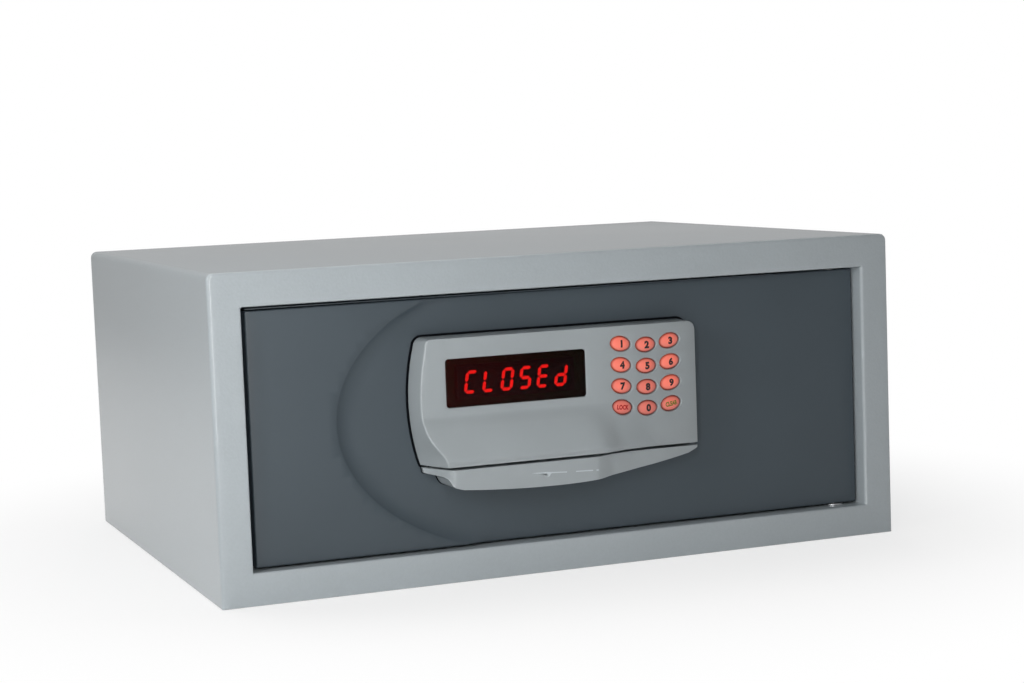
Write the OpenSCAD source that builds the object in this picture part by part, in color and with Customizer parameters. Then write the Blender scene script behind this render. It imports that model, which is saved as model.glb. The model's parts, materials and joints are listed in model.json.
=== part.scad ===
// In-room safe: a folded steel cabinet with a front-opening door, a keypad and card-reader panel,
// and a motor-driven pair of locking bolts on the door's inner side.
// Origin: centre of the footprint on the surface it stands on. +Z up, front faces -Y.

/* [Cabinet] */
// Outside width of the cabinet
cabinet_w = 460; // [440:5:520]
// Outside height of the cabinet
cabinet_h = 200; // [200:5:250]
// Depth from the front frame to the back panel
cabinet_d = 350; // [300:5:420]
// Thickness of the folded steel sheet
sheet = 2; // [1.5:0.5:2.5]
// Outside radius of the two long top bends
top_bend = 4.5; // [3:0.5:8]
// Width of the frame's border at the sides and at the bottom
border = 20; // [18:1:22]
// Width of the frame's border at the top
top_border = 21; // [18:1:24]
// Spacing of the anchor holes in the floor and in the back
anchor_spacing = 300; // [200:10:360]
// Diameter of an anchor hole
anchor_d = 11; // [8:1:13]

/* [Door] */
// Distance from the front frame's face back to the door's face
door_recess = 7; // [5:1:9]
// Depth of the folded door pan
door_depth = 18; // [16:1:18]
// Thickness of the door's face
door_plate = 4; // [3:0.5:4]
// Gap round the door at the hinge side, top and bottom
door_gap = 1.5; // [1.5:0.5:3]
// Gap at the bolt side
bolt_side_gap = 3.5; // [2.5:0.5:4]
// Depth of the pressed area behind the control panel
press_depth = 3; // [1:0.5:3]
// Half width of the pressed area's elliptical edge
press_a = 139.6; // [130:0.2:145]
// Half height of the pressed area's elliptical edge
press_b = 89.6; // [85:0.2:95]

/* [Control panel] */
// Height of the panel's flat face above the pressed door face
panel_rise = 17; // [15:0.5:18]
// How much further the card reader's brow stands out
brow_rise = 11.5; // [8:0.5:13]
// Width of the display window
window_w = 93; // [80:1:96]
// Height of the display window
window_h = 30; // [24:1:30]
// Width of one key
key_w = 13.8; // [12:0.2:15.4]
// Height of one key
key_h = 9.2; // [8:0.2:10.4]
// Travel of a key when pressed
key_travel = 1.2; // [0.8:0.1:1.4]

/* [Lock] */
// Diameter of a locking bolt
bolt_d = 16; // [12:1:18]
// Throw of the locking bolts
bolt_throw = 15; // [10:1:15]
// Height of the bolts above and below the door's middle
bolt_spread = 45; // [35:1:48]

/* [Hidden] */
$fn = 48;

// Clearances
gap = 0.3;          // between bodies that pass each other
running = 0.05;     // radial play of a shaft in its bore

// Cabinet planes
side_x = cabinet_w / 2;
front_y = -cabinet_d / 2;
back_y = cabinet_d / 2;
open_x = side_x - border;
open_z0 = border;
open_z1 = cabinet_h - top_border;
flange_back = front_y + 27;      // back edge of the frame's top and bottom returns
bolt_flange_back = front_y + 17; // back edge of the return on the bolt side
hinge_flange_back = front_y + 25;
anchor_y = 20;                   // floor anchors lie this far behind the middle
anchor_z = 110;                  // height of the back anchors

// Door planes
door_x0 = -open_x + bolt_side_gap;
door_x1 = open_x - door_gap;
door_z0 = open_z0 + door_gap;
door_z1 = open_z1 - door_gap;
door_y = front_y + door_recess;
door_back = door_y + door_depth;
door_mid_z = (door_z0 + door_z1) / 2;
pressed_y = door_y + press_depth;
press_x = -13;                   // centre of the pressed ellipse
press_z = 103.4;

// Hinge
hinge_x = open_x - 16;
bush_r = 4;
hinge_y = pressed_y + bush_r + 1;    // as near the door's face as the bushes can lie
pin_r = 3;
bush_len = 14;
washer_r = 6.5;

// Control panel planes, counted outward from the pressed door face
gasket_t = 1;
gasket_proud = 1.3;              // how far the gasket shows round the panel
panel_base = pressed_y - gasket_t;
panel_y = pressed_y - panel_rise;
brow_y = panel_y - brow_rise;
skin = 2;                        // wall of the plastic mouldings
panel_left = -105.3;             // widest point of the curved left edge
panel_right = 83.4;
panel_top = 153;
slot_top = 74.2;                 // underside of the housing, upper wall of the card slot
slot_bottom = 73;                // upper face of the lip
slot_back = panel_base - 9;      // the card's edge runs against this face
crease_z = 103;
brow_z = 78;
left_bow_r = 134;                // radius of the curved left edge
left_bow_z = 114;

// Behind the panel's face
board_t = 1.6;
board_y = panel_y + 7.5;         // front of the control board
mat_t = 1.5;
lens_t = 1.5;
window_x0 = -86.1;
window_z0 = 109.7;

// Keys
key_columns = [31.4, 48.8, 65.3];
key_top_row = [141.1, 139.4, 140.9];
key_row_pitch = 13.4;
key_tilt = [-10, 0, 10];
key_proud = 0.4;                 // height of a key above the panel's face
key_flange = 0.9;                // the flange that keeps a key in the housing
key_flange_t = 1;
key_back = panel_y + skin + gap + key_flange_t;

// Lock, on the inner side of the door
plate_t = 2;
plate_back = door_back + plate_t;
bolt_r = bolt_d / 2;
bolt_y = plate_back + bolt_r + 2;
bolt_z = [door_mid_z - bolt_spread, door_mid_z + bolt_spread];
bolt_tip_x = door_x0 + 0.5;
bolt_len = 58;
carriage_x = bolt_tip_x + bolt_len;
carriage_t = 8;
gear_module = 1;
gear_teeth = 18;
pitch_r = gear_module * gear_teeth / 2;
pinion_x = -104;
pinion_z = 110;
rack_z = pinion_z - pitch_r;     // the rack's pitch line
gear_y = bolt_y - 4;             // front of the gear and of the rack
gear_w = 8;
shaft_r = 2.5;

// Inner cover
cover_t = 1.2;
cover_x0 = door_x0 + 6.5;
cover_x1 = 178;
cover_z0 = door_z0 + 5;
cover_z1 = door_z1 - 5;
cover_back = front_y + 63;
bay_x0 = -40;
bay_w = 70;
bay_z0 = 70;
bay_h = 60;
lid_t = 1.5;
lid_travel = 85;
cell_r = 7.1;
cell_len = 50;

// ---------------------------------------------------------------- helpers

// Box from its low corner to its high corner
module span(low, high) {
    translate(low) cube(high - low);
}

// Cylinder along +Y, from y0 to y1
module y_rod(x, z, r, y0, y1) {
    translate([x, y0, z]) rotate([-90, 0, 0]) cylinder(r = r, h = y1 - y0);
}

// Cylinder along +Z, from z0 to z1
module z_rod(x, y, r, z0, z1) {
    translate([x, y, z0]) cylinder(r = r, h = z1 - z0);
}

// Cylinder along +X, from x0 to x1
module x_rod(y, z, r, x0, x1) {
    translate([x0, y, z]) rotate([0, 90, 0]) cylinder(r = r, h = x1 - x0);
}

// Turns a drawing in (x, z) into a plate from y0 to y1
module xz_plate(y0, y1) {
    translate([0, y1, 0]) rotate([90, 0, 0]) linear_extrude(y1 - y0) children();
}

// Rectangle with round corners, low corner first
module round_rect(low, size, r) {
    translate([low[0] + r, low[1]]) square([size[0] - 2 * r, size[1]]);
    translate([low[0], low[1] + r]) square([size[0], size[1] - 2 * r]);
    for (i = [0, 1], j = [0, 1])
        translate([low[0] + r + i * (size[0] - 2 * r), low[1] + r + j * (size[1] - 2 * r)]) circle(r);
}

function ellipse_points(a, b, n = 60) = [for (i = [0 : n - 1]) [a * cos(360 * i / n), b * sin(360 * i / n)]];

// A pan-head screw whose head stands on the face at y0 and whose shank runs towards -Y
module screw(x, z, y0, head_r, shank_r, length) {
    y_rod(x, z, head_r, y0, y0 + head_r * 0.7);
    y_rod(x, z, shank_r, y0 - length, y0);
}

// ---------------------------------------------------------------- cabinet

// Half section of the wrap: square at the bottom, bent at the top
module wrap_outline(inset) {
    w = cabinet_w - 2 * inset;
    h = cabinet_h - inset;
    r = top_bend - inset;
    translate([-w / 2, 0]) square([w, h - r]);
    translate([-w / 2 + r, 0]) square([w - 2 * r, h]);
    for (s = [-1, 1]) translate([s * (w / 2 - r), h - r]) circle(r);
}

module body_wrap() {
    color("silver") difference() {
        xz_plate(front_y + sheet, back_y) wrap_outline(0);
        xz_plate(front_y, back_y + 1) {
            wrap_outline(sheet);
            translate([-side_x + sheet, -1]) square([cabinet_w - 2 * sheet, 10]);
        }
    }
}

module floor_pan() {
    color("silver") difference() {
        span([-side_x + sheet, front_y + sheet, 0], [side_x - sheet, back_y - sheet, sheet]);
        for (s = [-1, 1]) z_rod(s * anchor_spacing / 2, anchor_y, anchor_d / 2, -1, sheet + 1);
    }
}

module back_panel() {
    color("silver") difference() {
        xz_plate(back_y - sheet, back_y) wrap_outline(sheet);
        for (s = [-1, 1])
            y_rod(s * anchor_spacing / 2, anchor_z, anchor_d / 2, back_y - sheet - 1, back_y + 1);
    }
}

module front_frame() {
    color("silver") difference() {
        union() {
            xz_plate(front_y, front_y + sheet) wrap_outline(0);
            span([-open_x - sheet, front_y, open_z0 - sheet], [open_x + sheet, flange_back, open_z0]);
            span([-open_x - sheet, front_y, open_z1], [open_x + sheet, flange_back, open_z1 + sheet]);
            span([-open_x - sheet, front_y, open_z0], [-open_x, bolt_flange_back, open_z1]);
            span([open_x, front_y, open_z0], [open_x + sheet, hinge_flange_back, open_z1]);
        }
        span([-open_x, front_y - 1, open_z0], [open_x, front_y + 60, open_z1]);
        z_rod(hinge_x, hinge_y, pin_r, open_z0 - sheet - 1, open_z0 + 1);
        z_rod(hinge_x, hinge_y, pin_r, open_z1 - 1, open_z1 + sheet + 1);
    }
}

// Strike plate behind the frame's return, with a hole for each bolt
module bolt_keeper() {
    color("dimgray") difference() {
        span([-open_x - 3.5, bolt_flange_back, open_z0], [-open_x - 0.5, bolt_y + bolt_r + 9, open_z1]);
        for (z = bolt_z) x_rod(bolt_y, z, bolt_r + 0.5, -open_x - 5, -open_x + 1);
    }
}

module floor_mat() {
    color("#3a3d42") difference() {
        span([-side_x + 8, front_y + 32, sheet], [side_x - 8, back_y - 8, sheet + 2]);
        for (s = [-1, 1]) z_rod(s * anchor_spacing / 2, anchor_y, 14, 0, sheet + 3);
    }
}

// Pin with a head on the far side of the frame's return
module hinge_pin(from_z, towards) {
    head_z = from_z - towards * sheet;
    far_z = from_z + towards * (door_gap + bush_len);
    z_rod(hinge_x, hinge_y, pin_r, min(head_z, far_z), max(head_z, far_z));
    z_rod(hinge_x, hinge_y, 7, min(head_z, head_z - towards * 3), max(head_z, head_z - towards * 3));
}

module hinge_pin_lower() {
    color("gainsboro") hinge_pin(open_z0, 1);
}

module hinge_pin_upper() {
    color("gainsboro") hinge_pin(open_z1, -1);
}

// Steel washer that the door turns on
module hinge_washer() {
    color("gainsboro") difference() {
        z_rod(hinge_x, hinge_y, washer_r, open_z0, door_z0 - gap);
        z_rod(hinge_x, hinge_y, pin_r, open_z0 - 1, door_z0);
    }
}

// Plastic ring that fills the gap above the door
module hinge_spacer() {
    color("#202224") difference() {
        z_rod(hinge_x, hinge_y, bush_r + 1, door_z1 + gap, open_z1);
        z_rod(hinge_x, hinge_y, pin_r, door_z1, open_z1 + 1);
    }
}

// ---------------------------------------------------------------- door

// Everything right of the elliptical edge, over the door's full height
module pressed_area(grow) {
    translate([press_x, door_z0 - 1]) square([door_x1 - press_x + 1, door_z1 - door_z0 + 2]);
    intersection() {
        translate([press_x, press_z]) polygon(ellipse_points(press_a + grow, press_b + grow, 96));
        translate([door_x0, door_z0 - 1]) square([door_x1 - door_x0 + 1, door_z1 - door_z0 + 2]);
    }
}

module door_panel() {
    color("#59616b") difference() {
        span([door_x0, door_y, door_z0], [door_x1, door_back, door_z1]);
        xz_plate(door_y - 1, pressed_y) pressed_area(-4);
        xz_plate(door_y + door_plate, door_back + 1) difference() {
            translate([door_x0 + 3, door_z0 + 3])
                square([door_x1 - door_x0 - 6, door_z1 - door_z0 - 6]);
            pressed_area(1);
        }
        xz_plate(pressed_y + door_plate, door_back + 1)
            translate([door_x0 + 3, door_z0 + 3])
                square([door_x1 - door_x0 - 6, door_z1 - door_z0 - 6]);
        z_rod(hinge_x, hinge_y, bush_r, door_z0 - 1, door_z0 + bush_len);
        z_rod(hinge_x, hinge_y, bush_r, door_z1 - bush_len, door_z1 + 1);
        xz_plate(door_y, door_back) round_rect([-30, 96], [40, 24], 4);
        for (p = housing_screw_at) y_rod(p[0], p[1], 2, door_y, door_back);
    }
}

module hinge_blocks() {
    color("dimgray") difference() {
        for (z = [door_z0 + 3, door_z1 - 3 - 18])
            span([hinge_x - 9, pressed_y + door_plate, z], [hinge_x + 9, door_back, z + 18]);
        z_rod(hinge_x, hinge_y, bush_r, door_z0, door_z1);
    }
}

module hinge_bushes() {
    color("gainsboro") difference() {
        union() {
            z_rod(hinge_x, hinge_y, bush_r, door_z0, door_z0 + bush_len);
            z_rod(hinge_x, hinge_y, bush_r, door_z1 - bush_len, door_z1);
        }
        z_rod(hinge_x, hinge_y, pin_r + running, door_z0 - 1, door_z1 + 1);
    }
}

module mechanism_plate() {
    color("silver") difference() {
        span([door_x0 + 4, door_back, door_z0 + 3], [cover_x1 + 2, plate_back, door_z1 - 3]);
        xz_plate(door_back - 1, plate_back + 1) round_rect([-30, 132], [40, 24], 4);
        for (p = cover_screw_at) y_rod(p[0], p[1], 1.5, door_back - 1, plate_back + 1);
        for (p = motor_screw_at) y_rod(p[0], p[1], 1.5, door_back - 1, plate_back + 1);
    }
}

// Tray that covers the lock, with a window for the battery bay and rails for its lid
module inner_cover() {
    lid_z0 = bay_z0 - 6;
    lid_z1 = bay_z0 + bay_h + 6;
    color("lightgray") difference() {
        union() {
            span([cover_x0, plate_back, cover_z0], [cover_x1, cover_back, cover_z1]);
            for (z = [lid_z0 - gap - 2, lid_z1 + gap])
                span([bay_x0 - 6, cover_back, z], [bay_x0 + bay_w + 6 + lid_travel, cover_back + 3.4, z + 2]);
            for (z = [lid_z0 - gap - 2, lid_z1 - 1.7])
                span([bay_x0 - 6, cover_back + lid_t + 2 * gap, z],
                     [bay_x0 + bay_w + 6 + lid_travel, cover_back + 3.4, z + 4]);
        }
        span([cover_x0 + cover_t, plate_back - 1, cover_z0 + cover_t],
             [cover_x1 - cover_t, cover_back - cover_t, cover_z1 - cover_t]);
        span([bay_x0 - 1, plate_back, bay_z0 - 1], [bay_x0 + bay_w + 1, cover_back + 0.01, bay_z0 + bay_h + 1]);
        for (z = bolt_z) x_rod(bolt_y, z, bolt_r + 1, cover_x0 - 1, cover_x0 + 5);
        for (p = cover_screw_at) y_rod(p[0], p[1], 1.6, cover_back - 5, cover_back + 1);
    }
}

cover_screw_at = [for (x = [cover_x0 + 14, 60, cover_x1 - 10], z = [cover_z0 + 9, cover_z1 - 9]) [x, z]];

module cover_screws() {
    color("gainsboro") for (p = cover_screw_at)
        screw(p[0], p[1], cover_back, 3, 1.5, cover_back - door_back);
}

// ---------------------------------------------------------------- control panel

// Outline of the panel on the door: a bowed left edge, square top and right, set-in by inset
module panel_outline(z_low, inset = 0) {
    intersection() {
        round_rect([panel_left - 20, z_low + inset],
                   [panel_right - panel_left + 20 - inset, panel_top - z_low - 2 * inset], 5);
        translate([panel_left + left_bow_r, left_bow_z]) circle(left_bow_r - inset, $fn = 180);
    }
    intersection() {
        translate([panel_left, z_low + inset])
            square([panel_right - panel_left - inset, 20]);
        translate([panel_left + left_bow_r, left_bow_z]) circle(left_bow_r - inset, $fn = 180);
    }
}

// Side view of the card reader's brow, in (y, z): ramp, round edge, short drop to the slot
module brow_slice(x, rise, thin) {
    ramp = crease_z - brow_z;
    translate([x, 0, 0]) rotate([90, 0, 90]) linear_extrude(thin) polygon(concat(
        [[panel_base, slot_top], [panel_y - rise, slot_top]],
        [for (a = [0 : 30 : 90]) [panel_y - rise - 1.2 * sin(a) * rise / brow_rise,
                                  brow_z - 1 + 2 * (1 - cos(a))]],
        [[panel_y - rise * 0.5, brow_z + ramp * 0.45], [panel_y, crease_z], [panel_base, crease_z]]));
}

brow_max = brow_rise - 1.2;

// The brow is full between x = -88 and 8, runs out to the left edge, and fades to the right
module brow() {
    hull() {
        brow_slice(-92, brow_max, 0.1);
        brow_slice(8, brow_max, 0.1);
    }
    hull() {
        brow_slice(8, brow_max, 0.1);
        brow_slice(28, 0.05, 0.1);
    }
    hull() {
        brow_slice(-92, brow_max, 0.1);
        brow_slice(-100, 0.05, 0.1);
    }
}

housing_screw_at = [[-96, 140], [-96, 92], [78, 147], [78, 86]];
board_screw_at = [[-89, 147], [14, 147], [14, 92], [-89, 104]];

module control_housing() {
    color("#979ea0") difference() {
        union() {
            difference() {
                union() {
                    xz_plate(panel_y, panel_base) panel_outline(slot_top);
                    brow();
                }
                xz_plate(panel_y + skin, panel_base + 1) panel_outline(slot_top + 1, 2.5);
                reader_pocket();
                xz_plate(panel_y - 1, panel_y + 5)
                    round_rect([window_x0, window_z0], [window_w, window_h], 2);
                for (k = [0 : 11]) key_place(k)
                    xz_plate(brow_y, panel_y + 5)
                        polygon(ellipse_points(key_w / 2 + gap, key_h / 2 + gap, 48));
            }
            for (p = housing_screw_at) y_rod(p[0], p[1], 3.4, panel_y + 1, panel_base);
            for (p = board_screw_at) y_rod(p[0], p[1], 2.6, panel_y + 1, board_y);
        }
        for (p = housing_screw_at) y_rod(p[0], p[1], 1.25, panel_y + 4, panel_base + 1);
        for (p = board_screw_at) y_rod(p[0], p[1], 1, panel_y + 3, board_y + 1);
    }
}

// Hollow in the brow that holds the card reader's head
module reader_pocket() {
    span([-84, brow_y + 5, slot_top + 1.5], [0, panel_y + 8, slot_top + 13]);
}

// Lower edge of the reader's lip: a long shallow bow, lowest left of the middle
function lip_low(x) = 57.9 + 0.00118 * pow(x + 18, 2);

// Lower moulding: its upper face is the lower wall of the card slot
module lip_outline(grow) {
    polygon(concat(
        [[-99.5 - grow, slot_bottom], [-98.7 - grow, 69.4 - grow], [-93, 68.2 - grow],
         [-90 - grow, 64.9 - grow], [-87.6, 63.5 - grow]],
        [for (i = [0 : 10]) let (x = -84 + 16.4 * i) [x, lip_low(x) - grow]],
        [[panel_right + grow * 0.4, 70.4], [panel_right + grow * 0.4, slot_bottom]]));
}

module reader_lip() {
    color("#8f9698") union() {
        xz_plate(panel_y, panel_base) lip_outline(0);
        hull() {
            xz_plate(panel_y - brow_max, panel_y)
                polygon([[-90, slot_bottom], [-89, 65.5], [-84, 63.4], [-60, 61], [-10, 60], [8, 61.5],
                         [10, slot_bottom]]);
            xz_plate(panel_y, panel_y + 0.1)
                polygon([[-97, slot_bottom], [-90, 64.9], [-84, 62.6], [-32, 58.2], [20, 59.6], [30, 60.6],
                         [34, slot_bottom]]);
        }
        xz_plate(slot_back, panel_base) intersection() {
            translate([panel_left, slot_bottom]) square([panel_right - panel_left, slot_top - slot_bottom]);
            translate([panel_left + left_bow_r, left_bow_z]) circle(left_bow_r - 0.5, $fn = 180);
        }
    }
}

module panel_gasket() {
    color("#202224") difference() {
        xz_plate(panel_base, pressed_y) {
            panel_outline(slot_bottom, -gasket_proud);
            lip_outline(gasket_proud);
        }
        xz_plate(panel_base - 1, pressed_y + 1) panel_outline(slot_top + 6, 8);
        for (p = housing_screw_at) y_rod(p[0], p[1], 2, panel_base - 1, pressed_y + 1);
    }
}

module display_lens() {
    color("#2a0505") xz_plate(panel_y + 0.2, panel_y + 0.2 + lens_t)
        round_rect([window_x0 + 0.1, window_z0 + 0.1], [window_w - 0.2, window_h - 0.2], 2);
}

// Six seven-segment digits in one black block
module display_module() {
    color("#141414") span([-78, panel_y + 2.4, 114], [0, board_y, 135]);
}

module control_board() {
    color("darkgreen") difference() {
        span([-92, board_y, 84], [76, board_y + board_t, 150]);
        for (p = board_screw_at) y_rod(p[0], p[1], 1.2, board_y - 1, board_y + board_t + 1);
        y_rod(78, 147, 4, board_y - 1, board_y + board_t + 1);
        y_rod(78, 86, 4, board_y - 1, board_y + board_t + 1);
        y_rod(-96, 92, 4.4, board_y - 1, board_y + board_t + 1);
        y_rod(-96, 140, 4.4, board_y - 1, board_y + board_t + 1);
    }
}

module board_screws() {
    color("gainsboro") for (p = board_screw_at) screw(p[0], p[1], board_y + board_t, 2.2, 1, 5);
}

module housing_screws() {
    color("gainsboro") for (p = housing_screw_at)
        screw(p[0], p[1], pressed_y + door_plate, 3, 1.25, door_plate + gasket_t + 8);
}

// Rubber mat with a contact dome behind each key
module keypad_mat() {
    color("#55585c") union() {
        xz_plate(board_y - mat_t, board_y) round_rect([20, 91.5], [55, 57.5], 3);
        for (k = [0 : 11]) key_place(k) y_rod(0, 0, 3, key_back + key_travel + gap, board_y - mat_t / 2);
    }
}

module reader_head() {
    color("gray") union() {
        span([-56, brow_y + 6, slot_top + 1.5], [-40, brow_y + 17, slot_top + 9]);
        span([-70, brow_y + 17, slot_top + 1.5], [-26, brow_y + 18, slot_top + 8]);
    }
}

// Flat cable from the control board, through the door's aperture, to the lock board
module ribbon_cable() {
    y1 = plate_back + 4;
    color("lightgray") union() {
        span([-24, board_y + board_t, 106], [4, board_y + board_t + 3, 112]);
        span([-22, board_y + board_t + 3, 108], [2, door_back - 3, 109]);
        span([-22, door_back - 4, 109], [2, door_back - 3, 143]);
        span([-22, door_back - 3, 142], [2, y1, 143]);
        span([-22, y1 - 1, 143], [2, y1, 152]);
        span([2, y1 - 1, 146], [62, y1, 152]);
    }
}

// ---------------------------------------------------------------- keys

function key_x(k) = key_columns[k % 3];
function key_z(k) = key_top_row[k % 3] - floor(k / 3) * key_row_pitch;

module key_place(k) {
    translate([key_x(k), 0, key_z(k)]) rotate([0, -key_tilt[k % 3], 0]) children();
}

// A key: an oval cap that stands proud of the panel, and a flange behind the panel's skin
module key(k) {
    color("salmon") key_place(k) {
        xz_plate(panel_y - key_proud, panel_y + skin + gap)
            polygon(ellipse_points(key_w / 2, key_h / 2, 48));
        xz_plate(panel_y + skin + gap, key_back)
            polygon(ellipse_points(key_w / 2 + key_flange, key_h / 2 + key_flange, 48));
    }
}

// ---------------------------------------------------------------- lock

module bolt_guides() {
    color("dimgray") difference() {
        for (z = bolt_z)
            span([cover_x0 + 2, plate_back, z - bolt_r - 3], [cover_x0 + 22, bolt_y + bolt_r + 3, z + bolt_r + 3]);
        for (z = bolt_z) x_rod(bolt_y, z, bolt_r + running, cover_x0, cover_x0 + 24);
    }
}

module locking_bolts() {
    color("gainsboro") for (z = bolt_z) {
        x_rod(bolt_y, z, bolt_r, bolt_tip_x + 1.5, carriage_x);
        translate([bolt_tip_x, bolt_y, z]) rotate([0, 90, 0]) cylinder(r1 = bolt_r - 1.5, r2 = bolt_r, h = 1.5);
        x_rod(bolt_y, z, 4, carriage_x, carriage_x + carriage_t);
    }
}

rack_x0 = pinion_x - 10;
rack_x1 = pinion_x + bolt_throw + 12;
rack_play = 0.12;               // the rack's teeth are thinner by this on each flank

// Bar that joins the bolts, with the rack that the pinion drives
module bolt_carriage() {
    tooth = 3.14159265 * gear_module;
    tan20 = tan(20);
    color("lightsteelblue") difference() {
        union() {
            span([carriage_x, bolt_y - 6, bolt_z[0] - 12], [carriage_x + carriage_t, bolt_y + 6, bolt_z[1] + 12]);
            span([carriage_x + carriage_t, gear_y, rack_z - 9], [rack_x1, gear_y + gear_w, rack_z - 1.3]);
            for (i = [-3 : 8]) xz_plate(gear_y, gear_y + gear_w)
                translate([pinion_x + (i + 0.5) * tooth, rack_z]) polygon([
                    [-tooth / 4 - 1.3 * tan20 + rack_play, -1.31], [tooth / 4 + 1.3 * tan20 - rack_play, -1.31],
                    [tooth / 4 - 0.9 * tan20 - rack_play, 0.9], [-tooth / 4 + 0.9 * tan20 + rack_play, 0.9]]);
        }
        for (z = bolt_z) x_rod(bolt_y, z, 4, carriage_x - 1, carriage_x + carriage_t + 1);
    }
}

// Involute of the base circle, at the radius r, as an angle
function involute_angle(r, base) = let (t = sqrt(pow(r / base, 2) - 1)) t * 180 / 3.14159265 - atan(t);

// One flank from root to tip, and its mirror image, as points of a whole tooth
function tooth_points(c, base, root, tip, half) = concat(
    [[root * cos(c - half), root * sin(c - half)]],
    [for (i = [0 : 5]) let (r = base + (tip - base) * i / 5, a = c - half + involute_angle(r, base))
        [r * cos(a), r * sin(a)]],
    [for (i = [5 : -1 : 0]) let (r = base + (tip - base) * i / 5, a = c + half - involute_angle(r, base))
        [r * cos(a), r * sin(a)]],
    [[root * cos(c + half), root * sin(c + half)]]);

module drive_pinion() {
    base = pitch_r * cos(20);
    half = 90 / gear_teeth + involute_angle(pitch_r, base) - 0.5;
    color("goldenrod") translate([pinion_x, 0, pinion_z]) {
        xz_plate(gear_y, gear_y + gear_w) polygon([for (i = [0 : gear_teeth - 1])
            each tooth_points(-90 + i * 360 / gear_teeth, base, pitch_r - 1.3, pitch_r + 0.9, half)]);
        y_rod(0, 0, shaft_r, gear_y + gear_w, gear_y + gear_w + 12);
    }
}

motor_y = gear_y + gear_w + 2;
motor_screw_at = [[pinion_x - 12, pinion_z + 22], [pinion_x + 12, pinion_z + 22]];

// Gearbox with its motor above and two legs to the plate
module lock_motor() {
    color("#4a4d52") difference() {
        union() {
            span([pinion_x - 16, motor_y, pinion_z - 14], [pinion_x + 16, motor_y + 15, pinion_z + 26]);
            z_rod(pinion_x, motor_y + 8, 7.4, pinion_z + 26, pinion_z + 50);
            for (p = motor_screw_at) y_rod(p[0], p[1], 3.5, plate_back, motor_y);
        }
        y_rod(pinion_x, pinion_z, shaft_r + running, motor_y - 1, motor_y + 12.5);
        for (p = motor_screw_at) y_rod(p[0], p[1], 1.5, plate_back - 1, motor_y + 16);
    }
}

module motor_screws() {
    color("gainsboro") for (p = motor_screw_at)
        screw(p[0], p[1], motor_y + 15, 3, 1.5, motor_y + 15 - door_back);
}

module lock_board() {
    color("darkgreen") union() {
        span([60, plate_back + 5, 96], [140, plate_back + 6.6, 156]);
        span([70, plate_back + 6.6, 104], [84, plate_back + 12, 124]);
        span([96, plate_back + 6.6, 130], [128, plate_back + 9, 142]);
        span([62, plate_back + 3, 144], [70, plate_back + 5, 154]);
        for (x = [64, 136], z = [100, 132]) y_rod(x, z, 2.5, plate_back, plate_back + 5);
    }
}

// Micro switch that senses the thrown carriage
module limit_switch() {
    color("#222426") union() {
        span([carriage_x - 28, plate_back, 92], [carriage_x - 18, plate_back + 14, 112]);
        span([carriage_x - 18, plate_back + 8, 96], [carriage_x - bolt_throw - 0.5, plate_back + 10, 100]);
    }
}

// ---------------------------------------------------------------- battery bay

module battery_holder() {
    floor_y = cover_back - 20;
    color("#26282b") difference() {
        span([bay_x0, plate_back, bay_z0], [bay_x0 + bay_w, cover_back - 2, bay_z0 + bay_h]);
        span([bay_x0 + 3, floor_y + 2, bay_z0 + 3], [bay_x0 + bay_w - 3, cover_back, bay_z0 + bay_h - 3]);
        span([bay_x0 + 3, plate_back - 1, bay_z0 + 3], [bay_x0 + bay_w - 3, floor_y, bay_z0 + bay_h - 3]);
    }
}

module batteries() {
    color("#b98b2f") for (i = [0 : 3]) {
        x = bay_x0 + bay_w / 2 + (i - 1.5) * (2 * cell_r + 1);
        y = cover_back - 18 + cell_r;
        z0 = bay_z0 + 4;
        z_rod(x, y, cell_r, z0, z0 + cell_len - 1);
        z_rod(x, y, 2.6, z0 + cell_len - 1, z0 + cell_len);
    }
}

module battery_cover() {
    z0 = bay_z0 - 6;
    z1 = bay_z0 + bay_h + 6;
    color("#3a3d42") union() {
        span([bay_x0 - 6, cover_back + gap, z0], [bay_x0 + bay_w + 6, cover_back + gap + lid_t, z1]);
        for (i = [0 : 4])
            span([bay_x0 + 2 + i * 4, cover_back + gap + lid_t, z0 + 16], [bay_x0 + 4 + i * 4, cover_back + 3, z1 - 16]);
    }
}

body_wrap();
floor_pan();
back_panel();
front_frame();
bolt_keeper();
floor_mat();
hinge_pin_lower();
hinge_pin_upper();
hinge_washer();
hinge_spacer();
door_panel();
hinge_blocks();
hinge_bushes();
mechanism_plate();
inner_cover();
cover_screws();
panel_gasket();
control_housing();
reader_lip();
display_lens();
display_module();
control_board();
board_screws();
housing_screws();
keypad_mat();
reader_head();
ribbon_cable();
bolt_guides();
lock_motor();
motor_screws();
lock_board();
limit_switch();
battery_holder();
batteries();
battery_cover();
bolt_carriage();
locking_bolts();
drive_pinion();
key(0);  // key_1
key(1);  // key_2
key(2);  // key_3
key(3);  // key_4
key(4);  // key_5
key(5);  // key_6
key(6);  // key_7
key(7);  // key_8
key(8);  // key_9
key(9);  // key_lock
key(10);  // key_0
key(11);  // key_clear
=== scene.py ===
"""The looks of an in-room safe, made round its packed construction model.

The file is laid out as an add-on: each operator makes one piece or group of pieces.
Run as a script, it makes them all in order. Shapes are worked out in millimetres.
"""

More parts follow.
